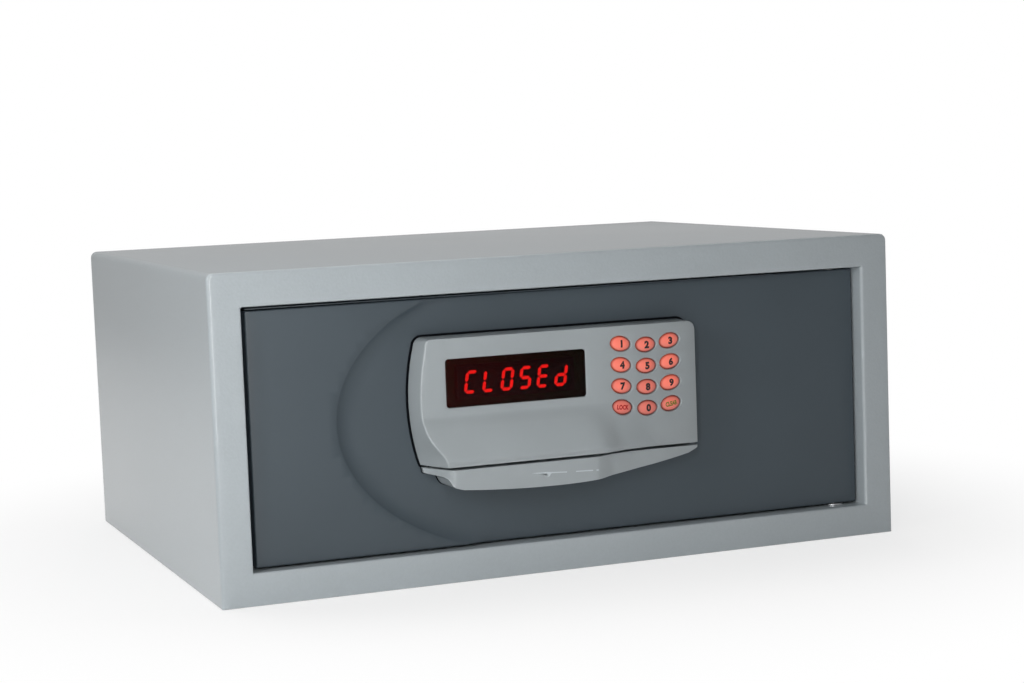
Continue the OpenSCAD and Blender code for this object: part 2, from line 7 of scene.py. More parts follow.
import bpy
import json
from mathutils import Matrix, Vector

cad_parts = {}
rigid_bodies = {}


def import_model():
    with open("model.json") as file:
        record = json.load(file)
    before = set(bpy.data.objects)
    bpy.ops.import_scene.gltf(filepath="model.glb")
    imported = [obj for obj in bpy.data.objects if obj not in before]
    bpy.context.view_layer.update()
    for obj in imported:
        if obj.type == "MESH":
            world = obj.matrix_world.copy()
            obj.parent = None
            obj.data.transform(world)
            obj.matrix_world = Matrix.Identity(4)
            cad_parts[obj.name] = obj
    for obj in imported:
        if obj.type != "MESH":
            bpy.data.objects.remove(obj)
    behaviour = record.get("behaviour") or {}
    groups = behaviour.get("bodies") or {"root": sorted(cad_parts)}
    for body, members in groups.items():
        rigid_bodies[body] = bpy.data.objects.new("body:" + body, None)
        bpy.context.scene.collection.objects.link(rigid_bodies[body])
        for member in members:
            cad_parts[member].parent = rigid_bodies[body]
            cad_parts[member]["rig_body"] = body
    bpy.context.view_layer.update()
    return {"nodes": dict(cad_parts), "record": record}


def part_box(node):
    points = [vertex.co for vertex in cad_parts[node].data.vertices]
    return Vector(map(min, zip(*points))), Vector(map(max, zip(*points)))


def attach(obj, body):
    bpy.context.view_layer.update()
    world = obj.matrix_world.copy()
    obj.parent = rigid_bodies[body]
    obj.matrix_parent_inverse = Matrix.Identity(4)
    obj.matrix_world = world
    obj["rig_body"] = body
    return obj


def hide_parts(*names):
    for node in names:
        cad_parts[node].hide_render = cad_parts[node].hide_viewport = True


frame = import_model()

import json
import math

import bmesh
import bpy
from bpy.props import FloatProperty, FloatVectorProperty, PointerProperty
from mathutils import Matrix, Vector
from mathutils.geometry import delaunay_2d_cdt

bl_info = {
    "name": "In-room safe",
    "version": (1, 0, 0),
    "blender": (4, 5, 0),
    "location": "View3D > Sidebar > Safe",
    "description": "Makes the visible pieces of an in-room safe round its construction model",
    "category": "Object",
}

MM = 0.001
DISPLAY_TEXT = "CLOSEd"
SEGMENTS = {"C": "adef", "L": "def", "O": "abcdef", "S": "acdfg", "E": "adefg", "d": "bcdeg"}
KEYS = {f"key_{digit}": str(digit) for digit in range(10)}
KEYS.update(key_lock="LOCK", key_clear="CLEAR")


# ---------------------------------------------------------------- measures from the frame

def corners(node):
    """A construction node's lowest and highest corner, in millimetres."""
    low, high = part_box(node)
    return low / MM, high / MM


CABINET = corners("body_wrap")[0].xz.to_tuple() + corners("body_wrap")[1].xz.to_tuple()
FRONT_Y = corners("front_frame")[0].y
BACK_Y = corners("body_wrap")[1].y
DOOR_LOW, DOOR_HIGH = corners("door_panel")
KEEPER_LOW, KEEPER_HIGH = corners("bolt_keeper")
PRESSED_Y = corners("panel_gasket")[1].y
BASE_Y = corners("panel_gasket")[0].y
LENS_LOW, LENS_HIGH = corners("display_lens")
HOUSING_LOW, HOUSING_HIGH = corners("control_housing")
LIP_LOW, LIP_HIGH = corners("reader_lip")
MODULE_LOW, MODULE_HIGH = corners("display_module")
FACE_Y = LENS_LOW.y - 0.2
SHEET = corners("floor_pan")[1].z


# ---------------------------------------------------------------- settings

def length(name, description, default):
    """A length that the user can change, in metres."""
    return FloatProperty(name=name, description=description, default=default, min=0.0,
                         unit="LENGTH", precision=4)


def power(name, description, default):
    """A light's power that the user can change, in watts."""
    return FloatProperty(name=name, description=description, default=default, min=0.0, unit="POWER")


def colour(name, description, red, green, blue):
    """A colour that the user can change, given as it is seen, from 0 to 255."""
    return FloatVectorProperty(name=name, description=description, subtype="COLOR", size=3,
                               min=0.0, max=1.0, default=seen(red, green, blue)[:3])


def linear(part):
    """A display value from 0 to 255 as a linear one from 0 to 1."""
    part = part / 255
    return part / 12.92 if part <= 0.04045 else ((part + 0.055) / 1.055) ** 2.4


def seen(red, green, blue):
    """A colour given as it is seen, from 0 to 255."""
    return (linear(red), linear(green), linear(blue), 1.0)


class CabinetSettings(bpy.types.PropertyGroup):
    """Sizes and colour of the cabinet."""
    paint: colour("Paint", "Powder coat of the cabinet", 169, 177, 181)
    peel: length("Peel size", "Size of one dimple in the powder coat", 0.0013)
    top_bend: length("Top bend", "Outside radius of the two long top bends", 0.0045)
    front_bend: length("Front bend", "Radius between the sides and the front frame", 0.0024)
    mouth_bend: length("Mouth bend", "Radius of the frame's edge on the hinge side", 0.0024)
    mouth_edge: length("Mouth edge", "Radius of the frame's other inner edges", 0.0011)


class DoorSettings(bpy.types.PropertyGroup):
    """Sizes and colour of the door."""
    paint: colour("Paint", "Satin coat of the door", 65, 75, 82)
    bend: length("Bend", "Radius of the door's folded edges", 0.001)
    press_width: length("Press width", "Half width of the pressed ellipse", 0.1396)
    press_height: length("Press height", "Half height of the pressed ellipse", 0.0896)
    press_x: length("Press centre", "From the door's left edge to the ellipse's centre", 0.1935)
    press_z: length("Press centre height", "Height of the ellipse's centre", 0.1034)
    press_fade: length("Press fade", "Width over which the pressed edge flattens out", 0.0135)


class PanelSettings(bpy.types.PropertyGroup):
    """Sizes and colours of the control panel."""
    plastic: colour("Plastic", "Colour of the panel's mouldings", 158, 165, 168)
    glow: colour("Key glow", "Colour of the light behind the keys", 232, 96, 60)
    lit: colour("Lit segment", "Colour of a lit display segment", 255, 28, 24)
    filter_red: colour("Filter", "Colour of the display's filter", 38, 4, 4)
    crease: length("Crease height", "Height at which the reader's brow starts", 0.103)
    brow_edge: length("Brow edge height", "Height of the brow's lower edge", 0.0778)
    edge: length("Edge", "Radius of the panel's front edge", 0.0011)
    key_dome: length("Key crown", "How far a key's middle stands above its edge", 0.0012)


class StageSettings(bpy.types.PropertyGroup):
    """Light and ground."""
    floor: colour("Floor", "Colour of the floor", 245, 245, 245)
    main_light: power("Main light", "Power of the light at the front left", 2.15)
    side_light: power("Side light", "Power of the light on the left", 3.5)
    top_light: power("Top light", "Power of the light above", 7.5)
    fill_light: power("Fill lights", "Power of the lights on the right and behind", 6.0)
    sky: FloatProperty(name="Sky", description="Strength of the even light from all round",
                       default=0.02, min=0.0, max=2.0)


def settings():
    """The scene's four groups of settings, by name."""
    scene = bpy.context.scene
    return scene.safe_cabinet, scene.safe_door, scene.safe_panel, scene.safe_stage


# ---------------------------------------------------------------- shader arithmetic

class Flow:
    """A shader socket that takes part in Python arithmetic: each operation adds its Math node."""

    def __init__(self, tree, socket=None):
        self.tree = tree
        self.socket = socket

    def node(self, kind, choices=None, inputs=None, output=0):
        """Adds a node of any kind: its choices are set first, then its sockets' values or links."""
        made = self.tree.nodes.new(kind)
        for name, value in (choices or {}).items():
            if name == "stops":
                set_stops(made.color_ramp, value)
            else:
                setattr(made, name, value)
        for name, value in (inputs or {}).items():
            if isinstance(value, Flow):
                self.tree.links.new(value.socket, made.inputs[name])
            else:
                made.inputs[name].default_value = value
        return Flow(self.tree, made.outputs[output] if made.outputs else None)

    def math(self, operation, *values):
        """A Math node on the values, which may be sockets or numbers."""
        return self.node("ShaderNodeMath", {"operation": operation}, dict(enumerate(values)))

    def __add__(self, other):
        return self.math("ADD", self, other)

    def __sub__(self, other):
        return self.math("SUBTRACT", self, other)

    def __rsub__(self, other):
        return self.math("SUBTRACT", other, self)

    def __mul__(self, other):
        return self.math("MULTIPLY", self, other)

    def __truediv__(self, other):
        return self.math("DIVIDE", self, other)

    __radd__ = __add__
    __rmul__ = __mul__

    def mix(self, first, second):
        """first where this value is 0 and second where it is 1, as colours."""
        return self.node("ShaderNodeMix", {"data_type": "RGBA"}, {0: self, 6: first, 7: second}, 2)

    def tones(self, base, low, high):
        """The base colour, scaled by low where this value is 0 and by high where it is 1."""
        return self.mix(shade(base, low), shade(base, high))

    def noise(self, size, detail=2.0, roughness=0.5):
        """Noise whose features are about size metres wide, on these coordinates."""
        inputs = {"Vector": self, "Scale": 1 / size, "Detail": detail, "Roughness": roughness}
        return self.node("ShaderNodeTexNoise", None, inputs)

    def cells(self, size, feature="F1"):
        """The distance in Voronoi cells about size metres wide, on these coordinates."""
        inputs = {"Vector": self, "Scale": 1 / size}
        return self.node("ShaderNodeTexVoronoi", {"feature": feature}, inputs, "Distance")

    def stretched(self, x, y, z):
        """These coordinates scaled along each axis."""
        return self.node("ShaderNodeVectorMath", {"operation": "MULTIPLY"}, {0: self, 1: (x, y, z)})

    def part(self, axis):
        """One of these coordinates."""
        return self.node("ShaderNodeSeparateXYZ", None, {0: self}, "XYZ".index(axis))

    def ramp(self, low, high):
        """0 below low, 1 above high, smooth between."""
        return self.node("ShaderNodeMapRange", {"interpolation_type": "SMOOTHSTEP"},
                         {"Value": self, "From Min": low, "From Max": high})

    def bump(self, height):
        """A normal from this value; 1 stands height metres proud."""
        return self.node("ShaderNodeBump", None, {"Height": self, "Distance": height, "Strength": 1.0})


def set_stops(ramp, stops):
    """Gives a colour ramp its stops, each a place and a colour."""
    while len(ramp.elements) < len(stops):
        ramp.elements.new(1.0)
    for element, (place, shade) in zip(ramp.elements, stops):
        element.position = place
        element.color = shade


def shade(base, factor=1.0):
    """A colour with alpha, made lighter or darker."""
    return tuple(min(1.0, part * factor) for part in base[:3]) + (1.0,)


def begin(name):
    """A new material, its empty shader tree's start, and the piece's own coordinates."""
    made = bpy.data.materials.new(name)
    made.use_nodes = True
    made.node_tree.nodes.clear()
    start = Flow(made.node_tree)
    return made, start, start.node("ShaderNodeTexCoord", None, None, "Object")


def surface(made, start, inputs):
    """Ends a material in one Principled shader."""
    shader = start.node("ShaderNodeBsdfPrincipled", None, inputs)
    start.node("ShaderNodeOutputMaterial", None, {"Surface": shader})
    return made


# ---------------------------------------------------------------- materials

def powder_coat(name, paint, peel):
    """Painted steel with the dimples of a powder coat."""
    made, start, place = begin(name)
    patches = place.noise(0.09, 3.0)
    dimples = place.noise(peel, 1.5, 0.4)
    grains = place.cells(peel * 1.7)
    tone = patches * 0.10 + dimples * 0.10 + 0.9
    base = (tone - 0.95).ramp(-0.06, 0.12).tones(paint, 0.94, 1.05)
    height = dimples * 0.7 + grains * 0.5
    rough = patches * 0.12 + 0.36
    return surface(made, start, {"Base Color": base, "Roughness": rough, "Normal": height.bump(0.00009),
                                 "Coat Weight": 0.9, "Coat Roughness": 0.14})


def satin_coat(name, paint):
    """Smooth satin paint with a faint drift in tone."""
    made, start, place = begin(name)
    drift = place.noise(0.12, 3.0)
    fine = place.noise(0.0006, 2.0)
    base = drift.ramp(0.3, 0.7).tones(paint, 0.95, 1.05)
    rough = drift * 0.10 + fine * 0.06 + 0.34
    return surface(made, start, {"Base Color": base, "Roughness": rough, "Normal": fine.bump(0.000015)})


GRAIN_DEPTH = 0.00002
PANEL_TURN_X = 0.012            # where the turn starts, in metres right of the middle
PANEL_TURN = 2.2                # how fast it grows, per metre


def plastic_tone(place, base, spread):
    """A moulding's colour, drifting up and down by spread, and the fine grain that it drifts with."""
    drift = place.noise(0.05, 2.0)
    fine = place.noise(0.00045, 3.0, 0.6)
    return (drift * 0.7 + fine * 0.3).ramp(0.3, 0.7).tones(base, 1 - spread, 1 + spread), fine


def moulded(name, base, rough):
    """Moulded plastic with a spark-eroded grain."""
    made, start, place = begin(name)
    tone, fine = plastic_tone(place, base, 0.04)
    return surface(made, start, {"Base Color": tone, "Roughness": fine * 0.12 + (rough - 0.06),
                                 "Normal": fine.bump(GRAIN_DEPTH)})


def panel_moulding(name, base):
    """The panel's plastic: fine grain, and shading that turns gently away over its right third."""
    made, start, place = begin(name)
    tone, fine = plastic_tone(place, base, 0.03)
    beyond = place.part("X") - PANEL_TURN_X
    turned = beyond.math("MAXIMUM", beyond, 0.0)
    height = fine * GRAIN_DEPTH - turned * turned * PANEL_TURN
    return surface(made, start, {"Base Color": tone, "Roughness": fine * 0.12 + 0.3,
                                 "Normal": height.bump(1.0), "Coat Weight": 0.35,
                                 "Coat Roughness": 0.12})


def plated(name, base, rough, along=(1.0, 1.0, 1.0)):
    """Plated or turned metal, with fine lines along one direction and faint blotches."""
    made, start, place = begin(name)
    lines = place.stretched(*along).noise(0.0007, 3.0)
    blotch = place.noise(0.006, 3.0)
    tone = (blotch * 0.6 + lines * 0.4).ramp(0.3, 0.7).tones(base, 0.86, 1.1)
    return surface(made, start, {"Base Color": tone, "Metallic": 1.0,
                                 "Roughness": lines * 0.16 + blotch * 0.1 + (rough - 0.12),
                                 "Normal": lines.bump(0.00001)})


def felt(name, base):
    """Needled felt."""
    made, start, place = begin(name)
    fibres = place.noise(0.0008, 4.0, 0.7)
    tufts = place.noise(0.012, 3.0)
    tone = (fibres * 0.6 + tufts * 0.4).ramp(0.35, 0.65).tones(base, 0.7, 1.5)
    return surface(made, start, {"Base Color": tone, "Roughness": 0.95, "Normal": fibres.bump(0.0004),
                                 "Sheen Weight": 0.3})


def foam(name, base):
    """Closed-cell foam, which hardly shines."""
    made, start, place = begin(name)
    cells = place.noise(0.0009, 3.0, 0.6)
    tone = cells.tones(base, 0.7, 1.4)
    return surface(made, start, {"Base Color": tone, "Roughness": 0.95, "IOR": 1.12,
                                 "Normal": cells.bump(0.00006)})


def circuit(name, base):
    """Solder mask with copper tracks under it and tinned pads."""
    made, start, place = begin(name)
    tracks = place.stretched(1.0, 0.0, 1.0).cells(0.0045, "DISTANCE_TO_EDGE").ramp(0.04, 0.07)
    pads = place.stretched(1.0, 0.0, 1.0).cells(0.003).ramp(0.10, 0.16)
    mask = tracks.mix(shade(base, 1.9), shade(base))
    return surface(made, start, {"Base Color": pads.mix(seen(190, 190, 180), mask), "Roughness": 0.35,
                                 "Normal": (1 - tracks).bump(0.00003)})


def cell_sleeve(name):
    """A cell's printed sleeve: copper coloured at the top, black below, and steel at the ends."""
    made, start, place = begin(name)
    low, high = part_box("batteries")
    height = (place.part("Z") - low.z) / (high.z - low.z)
    sleeve = height.ramp(0.70, 0.71).mix(seen(30, 30, 33), seen(196, 132, 60))
    steel = height.ramp(0.972, 0.978)
    tone = steel.mix(sleeve, seen(190, 190, 188))
    fine = place.noise(0.0008)
    return surface(made, start, {"Base Color": tone, "Metallic": steel, "Roughness": fine * 0.1 + 0.24})


def glowing_key(name, glow):
    """A translucent key cap lit from behind: each key has its own level, and its rim is painted darker as
    shade from the panel's hole edge.
    """
    made, start, place = begin(name)
    spread = start.node("ShaderNodeAttribute", {"attribute_name": "glow"}, None, "Fac")
    cloud = place.noise(0.004, 2.0)
    level = spread * 0.85 + cloud * 0.15
    tone = level.ramp(0.0, 1.0).mix((0.0, 0.0, 0.0, 1.0), shade(glow))
    rim = start.node("ShaderNodeAttribute", {"attribute_name": "rim"}, None, "Fac")
    # painted shade: the cap's colour darkens towards its rim, where the panel's hole edge shades it
    skin = rim.ramp(0.78, 1.0).mix(seen(196, 112, 104), seen(80, 26, 26))
    return surface(made, start, {"Base Color": skin, "Roughness": cloud * 0.08 + 0.3,
                                 "Emission Color": tone, "Emission Strength": 0.62, "Coat Weight": 0.2})


def lamp_segment(name, base, strength):
    """A display segment, a touch dimmer in random patches."""
    made, start, place = begin(name)
    soft = place.noise(0.0016, 1.0)
    tone = soft.ramp(0.2, 0.8).mix(shade(base, 0.8), shade(base))
    return surface(made, start, {"Base Color": tone, "Roughness": 0.5, "Emission Color": tone,
                                 "Emission Strength": strength})


def filter_glass(name, base):
    """The display's polished dark filter, with painted light: lighter at its left end and darker towards
    its right.
    """
    made, start, place = begin(name)
    drift = place.noise(0.03, 2.0)
    across = place.part("X").ramp(LENS_LOW.x * MM, LENS_HIGH.x * MM)
    # painted light: the filter's tone runs from lighter at the left end to darker at the right
    tone = (across * 0.85 + drift * 0.15).tones(base, 1.2, 0.35)
    return surface(made, start, {"Base Color": tone, "Roughness": drift * 0.05 + 0.08, "Alpha": 0.62,
                                 "IOR": 1.16})


def ink(name, base):
    """Printed ink."""
    made, start, place = begin(name)
    fine = place.noise(0.0005)
    tone = fine.tones(base, 0.8, 1.2)
    return surface(made, start, {"Base Color": tone, "Roughness": fine * 0.1 + 0.45})


def make_materials():
    """Every material by name: the record's slots, and then the few that it has no slot for."""
    cabinet, door, panel, _ = settings()
    return {
        "cabinet_paint": powder_coat("cabinet_powder_coat", cabinet.paint, cabinet.peel),
        "door_paint": satin_coat("door_satin_coat", door.paint),
        "zinc_steel": plated("zinc_plated_steel", seen(190, 192, 194), 0.32),
        "bolt_steel": plated("ground_bolt_steel", seen(205, 206, 208), 0.18, (1.0, 14.0, 14.0)),
        "motor_steel": moulded("motor_case", seen(58, 60, 64), 0.4),
        "brass": plated("machined_brass", seen(196, 162, 92), 0.26),
        "panel_plastic": panel_moulding("panel_plastic", panel.plastic),
        "lens_plastic": filter_glass("display_filter", panel.filter_red),
        "black_plastic": moulded("black_plastic", seen(26, 26, 28), 0.45),
        # the foam is made almost black, as dark as the shade round the panel's edge: partly painted shade
        "black_foam": foam("closed_cell_foam", seen(10, 12, 16)),
        "key_plastic": glowing_key("lit_key_cap", panel.glow),
        "key_rubber": moulded("silicone_mat", seen(92, 94, 98), 0.6),
        "circuit_board": circuit("circuit_board", seen(22, 84, 48)),
        "cable_pvc": moulded("flat_cable", seen(176, 178, 182), 0.5),
        "cell_wrap": cell_sleeve("cell_sleeve"),
        "mat_felt": felt("needle_felt", seen(54, 57, 62)),
        "lit": lamp_segment("lit_segment", panel.lit, 5.5),
        "unlit": moulded("unlit_segment", seen(84, 52, 48), 0.5),
        "ink_black": ink("black_ink", seen(24, 20, 22)),
        "ink_red": ink("red_ink", seen(176, 10, 20)),
        "ink_green": ink("green_ink", seen(104, 112, 30)),
        "raised_mark": moulded("raised_mark", seen(196, 204, 208), 0.3),
    }


MATERIALS = {}


# ---------------------------------------------------------------- mesh making

def linked(name, data):
    """A new object in the scene."""
    made = bpy.data.objects.new(name, data)
    bpy.context.scene.collection.objects.link(made)
    return made


def ring(mesh, points):
    """New vertices at the points."""
    return [mesh.verts.new(point) for point in points]


def bridge(mesh, first, second):
    """Faces between two closed loops of as many vertices."""
    count = len(first)
    for i in range(count):
        j = (i + 1) % count
        mesh.faces.new((first[i], first[j], second[j], second[i]))


def onward(mesh, last, points):
    """A new ring of vertices, joined to the last one."""
    made = ring(mesh, points)
    bridge(mesh, last, made)
    return made


def run(start, end, count, first=0):
    """Even steps in (x, z) from start towards end, which is left out."""
    return [(start[0] + (end[0] - start[0]) * i / count, start[1] + (end[1] - start[1]) * i / count)
            for i in range(first, count)]


def loft(mesh, rings, closed=False):
    """Faces through a run of closed loops; closed joins the last to the first."""
    made = [ring(mesh, points) for points in rings]
    for first, second in zip(made, made[1:] + made[:1] if closed else made[1:]):
        bridge(mesh, first, second)
    return made


def inside(point, loop):
    """True if the point (x, z) lies in the closed loop."""
    x, z = point
    odd = False
    for (x0, z0), (x1, z1) in zip(loop, loop[1:] + loop[:1]):
        if (z0 > z) != (z1 > z) and x < (x1 - x0) * (z - z0) / (z1 - z0) + x0:
            odd = not odd
    return odd


def patch(mesh, outline, holes, lines, depth, extra=()):
    """A surface y = depth(x, z) over an outline in (x, z), with holes and feature lines.

    Returns the outline's and the holes' vertices, each loop in its own order.
    """
    points = []
    edges = []
    loops = []
    for loop in [outline] + holes:
        start = len(points)
        loops.append(range(start, start + len(loop)))
        points += loop
        edges += [(start + i, start + (i + 1) % len(loop)) for i in range(len(loop))]
    for line in lines:
        start = len(points)
        points += line
        edges += [(start + i, start + i + 1) for i in range(len(line) - 1)]
    points += [point for point in extra
               if inside(point, outline) and not any(inside(point, hole) for hole in holes)]
    flat = delaunay_2d_cdt([Vector(point) for point in points], edges, [], 0, 1e-4)
    verts = [mesh.verts.new((point.x, depth(point.x, point.y), point.y)) for point in flat[0]]
    for face in flat[2]:
        centre = sum((flat[0][i] for i in face), Vector((0, 0))) / len(face)
        if inside(centre, outline) and not any(inside(centre, hole) for hole in holes):
            mesh.faces.new([verts[i] for i in face])
    found = {old: verts[new] for new, olds in enumerate(flat[3]) for old in olds}
    return [[found[i] for i in loop] for loop in loops]


def arc(cx, cz, radius, start, end, steps):
    """Points of an arc, from one angle to another, in degrees."""
    turns = [math.radians(start + (end - start) * i / steps) for i in range(steps + 1)]
    return [(cx + radius * math.cos(turn), cz + radius * math.sin(turn)) for turn in turns]


def round_box(x0, z0, x1, z1, radius):
    """A rectangle with round corners, counter-clockwise from its lower right corner."""
    centres = ((x1 - radius, z0 + radius, -90), (x1 - radius, z1 - radius, 0),
               (x0 + radius, z1 - radius, 90), (x0 + radius, z0 + radius, 180))
    return [point for x, z, turn in centres for point in arc(x, z, radius, turn, turn + 90, 6)]


def oval(cx, cz, half_w, half_h, tilt=0.0, count=48):
    """An ellipse, turned by tilt degrees."""
    turn = Matrix.Rotation(math.radians(tilt), 2)
    angles = [2 * math.pi * i / count for i in range(count)]
    spots = [turn @ Vector((half_w * math.cos(angle), half_h * math.sin(angle))) for angle in angles]
    return [(cx + spot.x, cz + spot.y) for spot in spots]


def grown(loop, distance):
    """A closed counter-clockwise loop moved outward by distance."""
    made = []
    for i, (x, z) in enumerate(loop):
        before = Vector((x, z)) - Vector(loop[i - 1])
        after = Vector(loop[(i + 1) % len(loop)]) - Vector((x, z))
        along = (before.normalized() + after.normalized()).normalized()
        made.append((x + along.y * distance, z - along.x * distance))
    return made


def at_depth(loop, depth):
    """A loop in (x, z) as points in space."""
    return [(x, depth, z) for x, z in loop]


def smooth(value):
    """0 to 1 with level ends."""
    value = min(1.0, max(0.0, value))
    return value * value * (3 - 2 * value)


def place(mesh, name, body, slot, replaced=(), angle=28.0, material=None):
    """Turns a bmesh in millimetres into a finished piece that rides on a body.

    The material is the slot's own unless another is named.
    """
    bmesh.ops.scale(mesh, vec=(MM, MM, MM), verts=mesh.verts)
    bmesh.ops.recalc_face_normals(mesh, faces=mesh.faces)
    data = bpy.data.meshes.new(name)
    mesh.to_mesh(data)
    mesh.free()
    data.shade_smooth()
    data.set_sharp_from_angle(angle=math.radians(angle))
    piece = linked(name, data)
    data.materials.append(MATERIALS[material or slot])
    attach(piece, body)
    if replaced:
        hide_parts(*replaced)
    return piece


# ---------------------------------------------------------------- cabinet

def frame_ring(left, low, right, high, radii, depths):
    """One closed loop round the cabinet: a rectangle with its own radius at each corner and
    its own depth on each side. Radii start at the lower right corner, depths on the right."""
    spots = [(right, low, 1, -1), (right, high, 1, 1), (left, high, -1, 1), (left, low, -1, -1)]
    steps = 6
    made = []
    for corner, ((x, z, sx, sz), radius) in enumerate(zip(spots, radii)):
        before, after = depths[corner - 1], depths[corner]
        start = 90 * corner - 90
        bend = arc(x - sx * radius, z - sz * radius, radius, start, start + 90, steps)
        for i, (px, pz) in enumerate(bend):
            made.append((px, before * (1 - i / steps) + after * i / steps, pz))
    return made


def cabinet_shell():
    """Top, sides and front frame as one welded and painted shell."""
    cabinet = settings()[0]
    left, low, right, high = CABINET
    mouth = (KEEPER_HIGH.x + 0.5, KEEPER_LOW.z, -KEEPER_HIGH.x - 0.5, KEEPER_HIGH.z)
    top = cabinet.top_bend / MM
    bend = cabinet.front_bend / MM
    soft = cabinet.mouth_edge / MM
    # one value for each side: right, top, left, bottom
    front = (bend * 0.7, bend * 0.7, bend, 0.6)
    inner = (cabinet.mouth_bend / MM, soft, soft, soft)
    returns = (25.0, 27.0, 17.0, 27.0)

    def outer(inset, depths, shrink=0.0):
        radius = max(0.4, top - shrink)
        return frame_ring(left + inset[2], low + inset[3], right - inset[0], high - inset[1],
                          (0.5, radius, radius, 0.5), [FRONT_Y + depth for depth in depths])

    def inner_loop(grow, depths):
        return frame_ring(mouth[0] - grow[2], mouth[1] - grow[3], mouth[2] + grow[0], mouth[3] + grow[1],
                          (0.9, 0.9, 1.2, 0.9), [FRONT_Y + depth for depth in depths])

    back = (BACK_Y - FRONT_Y,) * 4
    sheet = (SHEET,) * 4
    rings = [outer((0,) * 4, back), outer((0,) * 4, front)]
    for step in range(1, 7):
        turn = math.radians(15 * step)
        inset = [part * (1 - math.cos(turn)) for part in front]
        rings.append(outer(inset, [part * (1 - math.sin(turn)) for part in front], inset[1]))
    rings.append(outer((6,) * 4, (0,) * 4, 2))
    rings.append(inner_loop([part + 3 for part in inner], (0,) * 4))
    for step in range(7):
        turn = math.radians(15 * step)
        rings.append(inner_loop([part * (1 - math.sin(turn)) for part in inner],
                                [part * (1 - math.cos(turn)) for part in inner]))
    rings += [inner_loop((0,) * 4, returns), inner_loop(sheet, returns), inner_loop(sheet, sheet)]
    rings += [outer(sheet, sheet, SHEET), outer(sheet, back, SHEET)]
    mesh = bmesh.new()
    loft(mesh, rings, closed=True)
    place(mesh, "cabinet_shell", "cabinet", "cabinet_paint", ("body_wrap", "front_frame"))


# ---------------------------------------------------------------- door

PRESS_END = 140.0               # the ellipse's edge is drawn this far from the door's left side
LATCH_INSET = 0.4               # how much the visible skin falls short on the latch side
TOP_SAG = 1.5                   # how far its top edge has dropped there
# how far inside the ellipse's edge each line of points lies
PRESS_STEPS = (0.0, 0.5, 1.1, 1.8, 2.7, 3.8, 5.2, 7.0, 9.0, 11.2, 13.5)


def press_reach(x, z):
    """How far inside the pressed ellipse's edge a point of the door's face lies."""
    door = settings()[1]
    half_w = door.press_width / MM
    half_h = door.press_height / MM
    dx = x - (DOOR_LOW.x + door.press_x / MM)
    dz = z - door.press_z / MM
    share = math.hypot(dx / half_w, dz / half_h)
    slope = math.hypot(dx / half_w ** 2, dz / half_h ** 2)
    if slope < 1e-6:
        return half_h
    return (1 - share) * share / slope + max(0.0, x - DOOR_LOW.x - PRESS_END) * 0.4


def door_depth(x, z):
    """The door face's y: level outside the ellipse, falling to the pressed plane inside it."""
    fade = settings()[1].press_fade / MM
    share = min(1.0, max(0.0, press_reach(x, z) / fade))
    return DOOR_LOW.y + (PRESSED_Y - DOOR_LOW.y) * (1 - (1 - share) ** 3)


def door_skin():
    """The folded pan, with the pressed ellipse's edge on its face."""
    door = settings()[1]
    bend = door.bend / MM
    face = (DOOR_LOW.x + bend + LATCH_INSET, DOOR_LOW.z + bend, DOOR_HIGH.x - bend, DOOR_HIGH.z - bend)
    turns = [(face[0], face[1]), (face[2], face[1]), (face[2], face[3]), (face[0], face[3])]
    outline = []
    for here, there in zip(turns, turns[1:] + turns[:1]):
        outline += run(here, there, max(2, round(math.dist(here, there) / 3)))
    press = [part / MM for part in (door.press_x, door.press_z, door.press_width, door.press_height)]
    whole = oval(DOOR_LOW.x + press[0], *press[1:], 0, 240)
    lines = [[(x, z) for x, z in grown(whole, -reach)
              if face[1] + 0.6 < z < face[3] - 0.6 and x < DOOR_LOW.x + PRESS_END]
             for reach in PRESS_STEPS]
    extra = [(face[0] + 6 * i, face[1] + 6 * j) for i in range(1, 68) for j in range(1, 26)
             if not -1 < press_reach(face[0] + 6 * i, face[1] + 6 * j) < 14.5]
    mesh = bmesh.new()
    rim = patch(mesh, outline, [], lines, door_depth, extra)[0]
    loop = [(vertex.co.x, vertex.co.z) for vertex in rim]
    last = rim
    for step in range(1, 6):
        turn = math.radians(18 * step)
        spread = grown_box(loop, face, bend * math.sin(turn))
        drop = bend * (1 - math.cos(turn))
        last = onward(mesh, last, [(x, vertex.co.y + drop, z) for (x, z), vertex in zip(spread, rim)])
    last = onward(mesh, last, [(vertex.co.x, DOOR_HIGH.y, vertex.co.z) for vertex in last])
    last = onward(mesh, last, at_depth(grown_box(loop, face, bend - 3), DOOR_HIGH.y))
    last = onward(mesh, last, [(vertex.co.x, PRESSED_Y + 4, vertex.co.z) for vertex in last])
    mesh.faces.new(last)
    for vertex in mesh.verts:
        vertex.co.z -= sagged(vertex.co.x, vertex.co.z)
    place(mesh, "door_skin", "door", "door_paint", ("door_panel",), 40.0)


def sagged(x, z):
    """How far the skin's top edge falls at a place: it drops evenly towards the latch side."""
    share = (DOOR_HIGH.x - x) / (DOOR_HIGH.x - DOOR_LOW.x)
    return TOP_SAG * share * smooth((z - DOOR_HIGH.z + 12) / 10)


def top_rail():
    """The edge of the door's inner tray, which shows as a thin line above the sagging skin."""
    mesh = bmesh.new()
    box_between(mesh, (DOOR_LOW.x + 0.8, DOOR_LOW.y + 1.0, DOOR_HIGH.z - 0.65),
                (DOOR_HIGH.x - 60, PRESSED_Y + 4, DOOR_HIGH.z - 0.05), 0.15)
    place(mesh, "door_tray_edge", "door", "door_paint")


def grown_box(loop, face, distance):
    """A loop on a rectangle's edge, moved outward by distance; corners keep square."""
    made = []
    for x, z in loop:
        out_x = (x > face[2] - 1e-3) - (x < face[0] + 1e-3)
        out_z = (z > face[3] - 1e-3) - (z < face[1] + 1e-3)
        made.append((x + out_x * distance, z + out_z * distance))
    return made


# ---------------------------------------------------------------- control panel

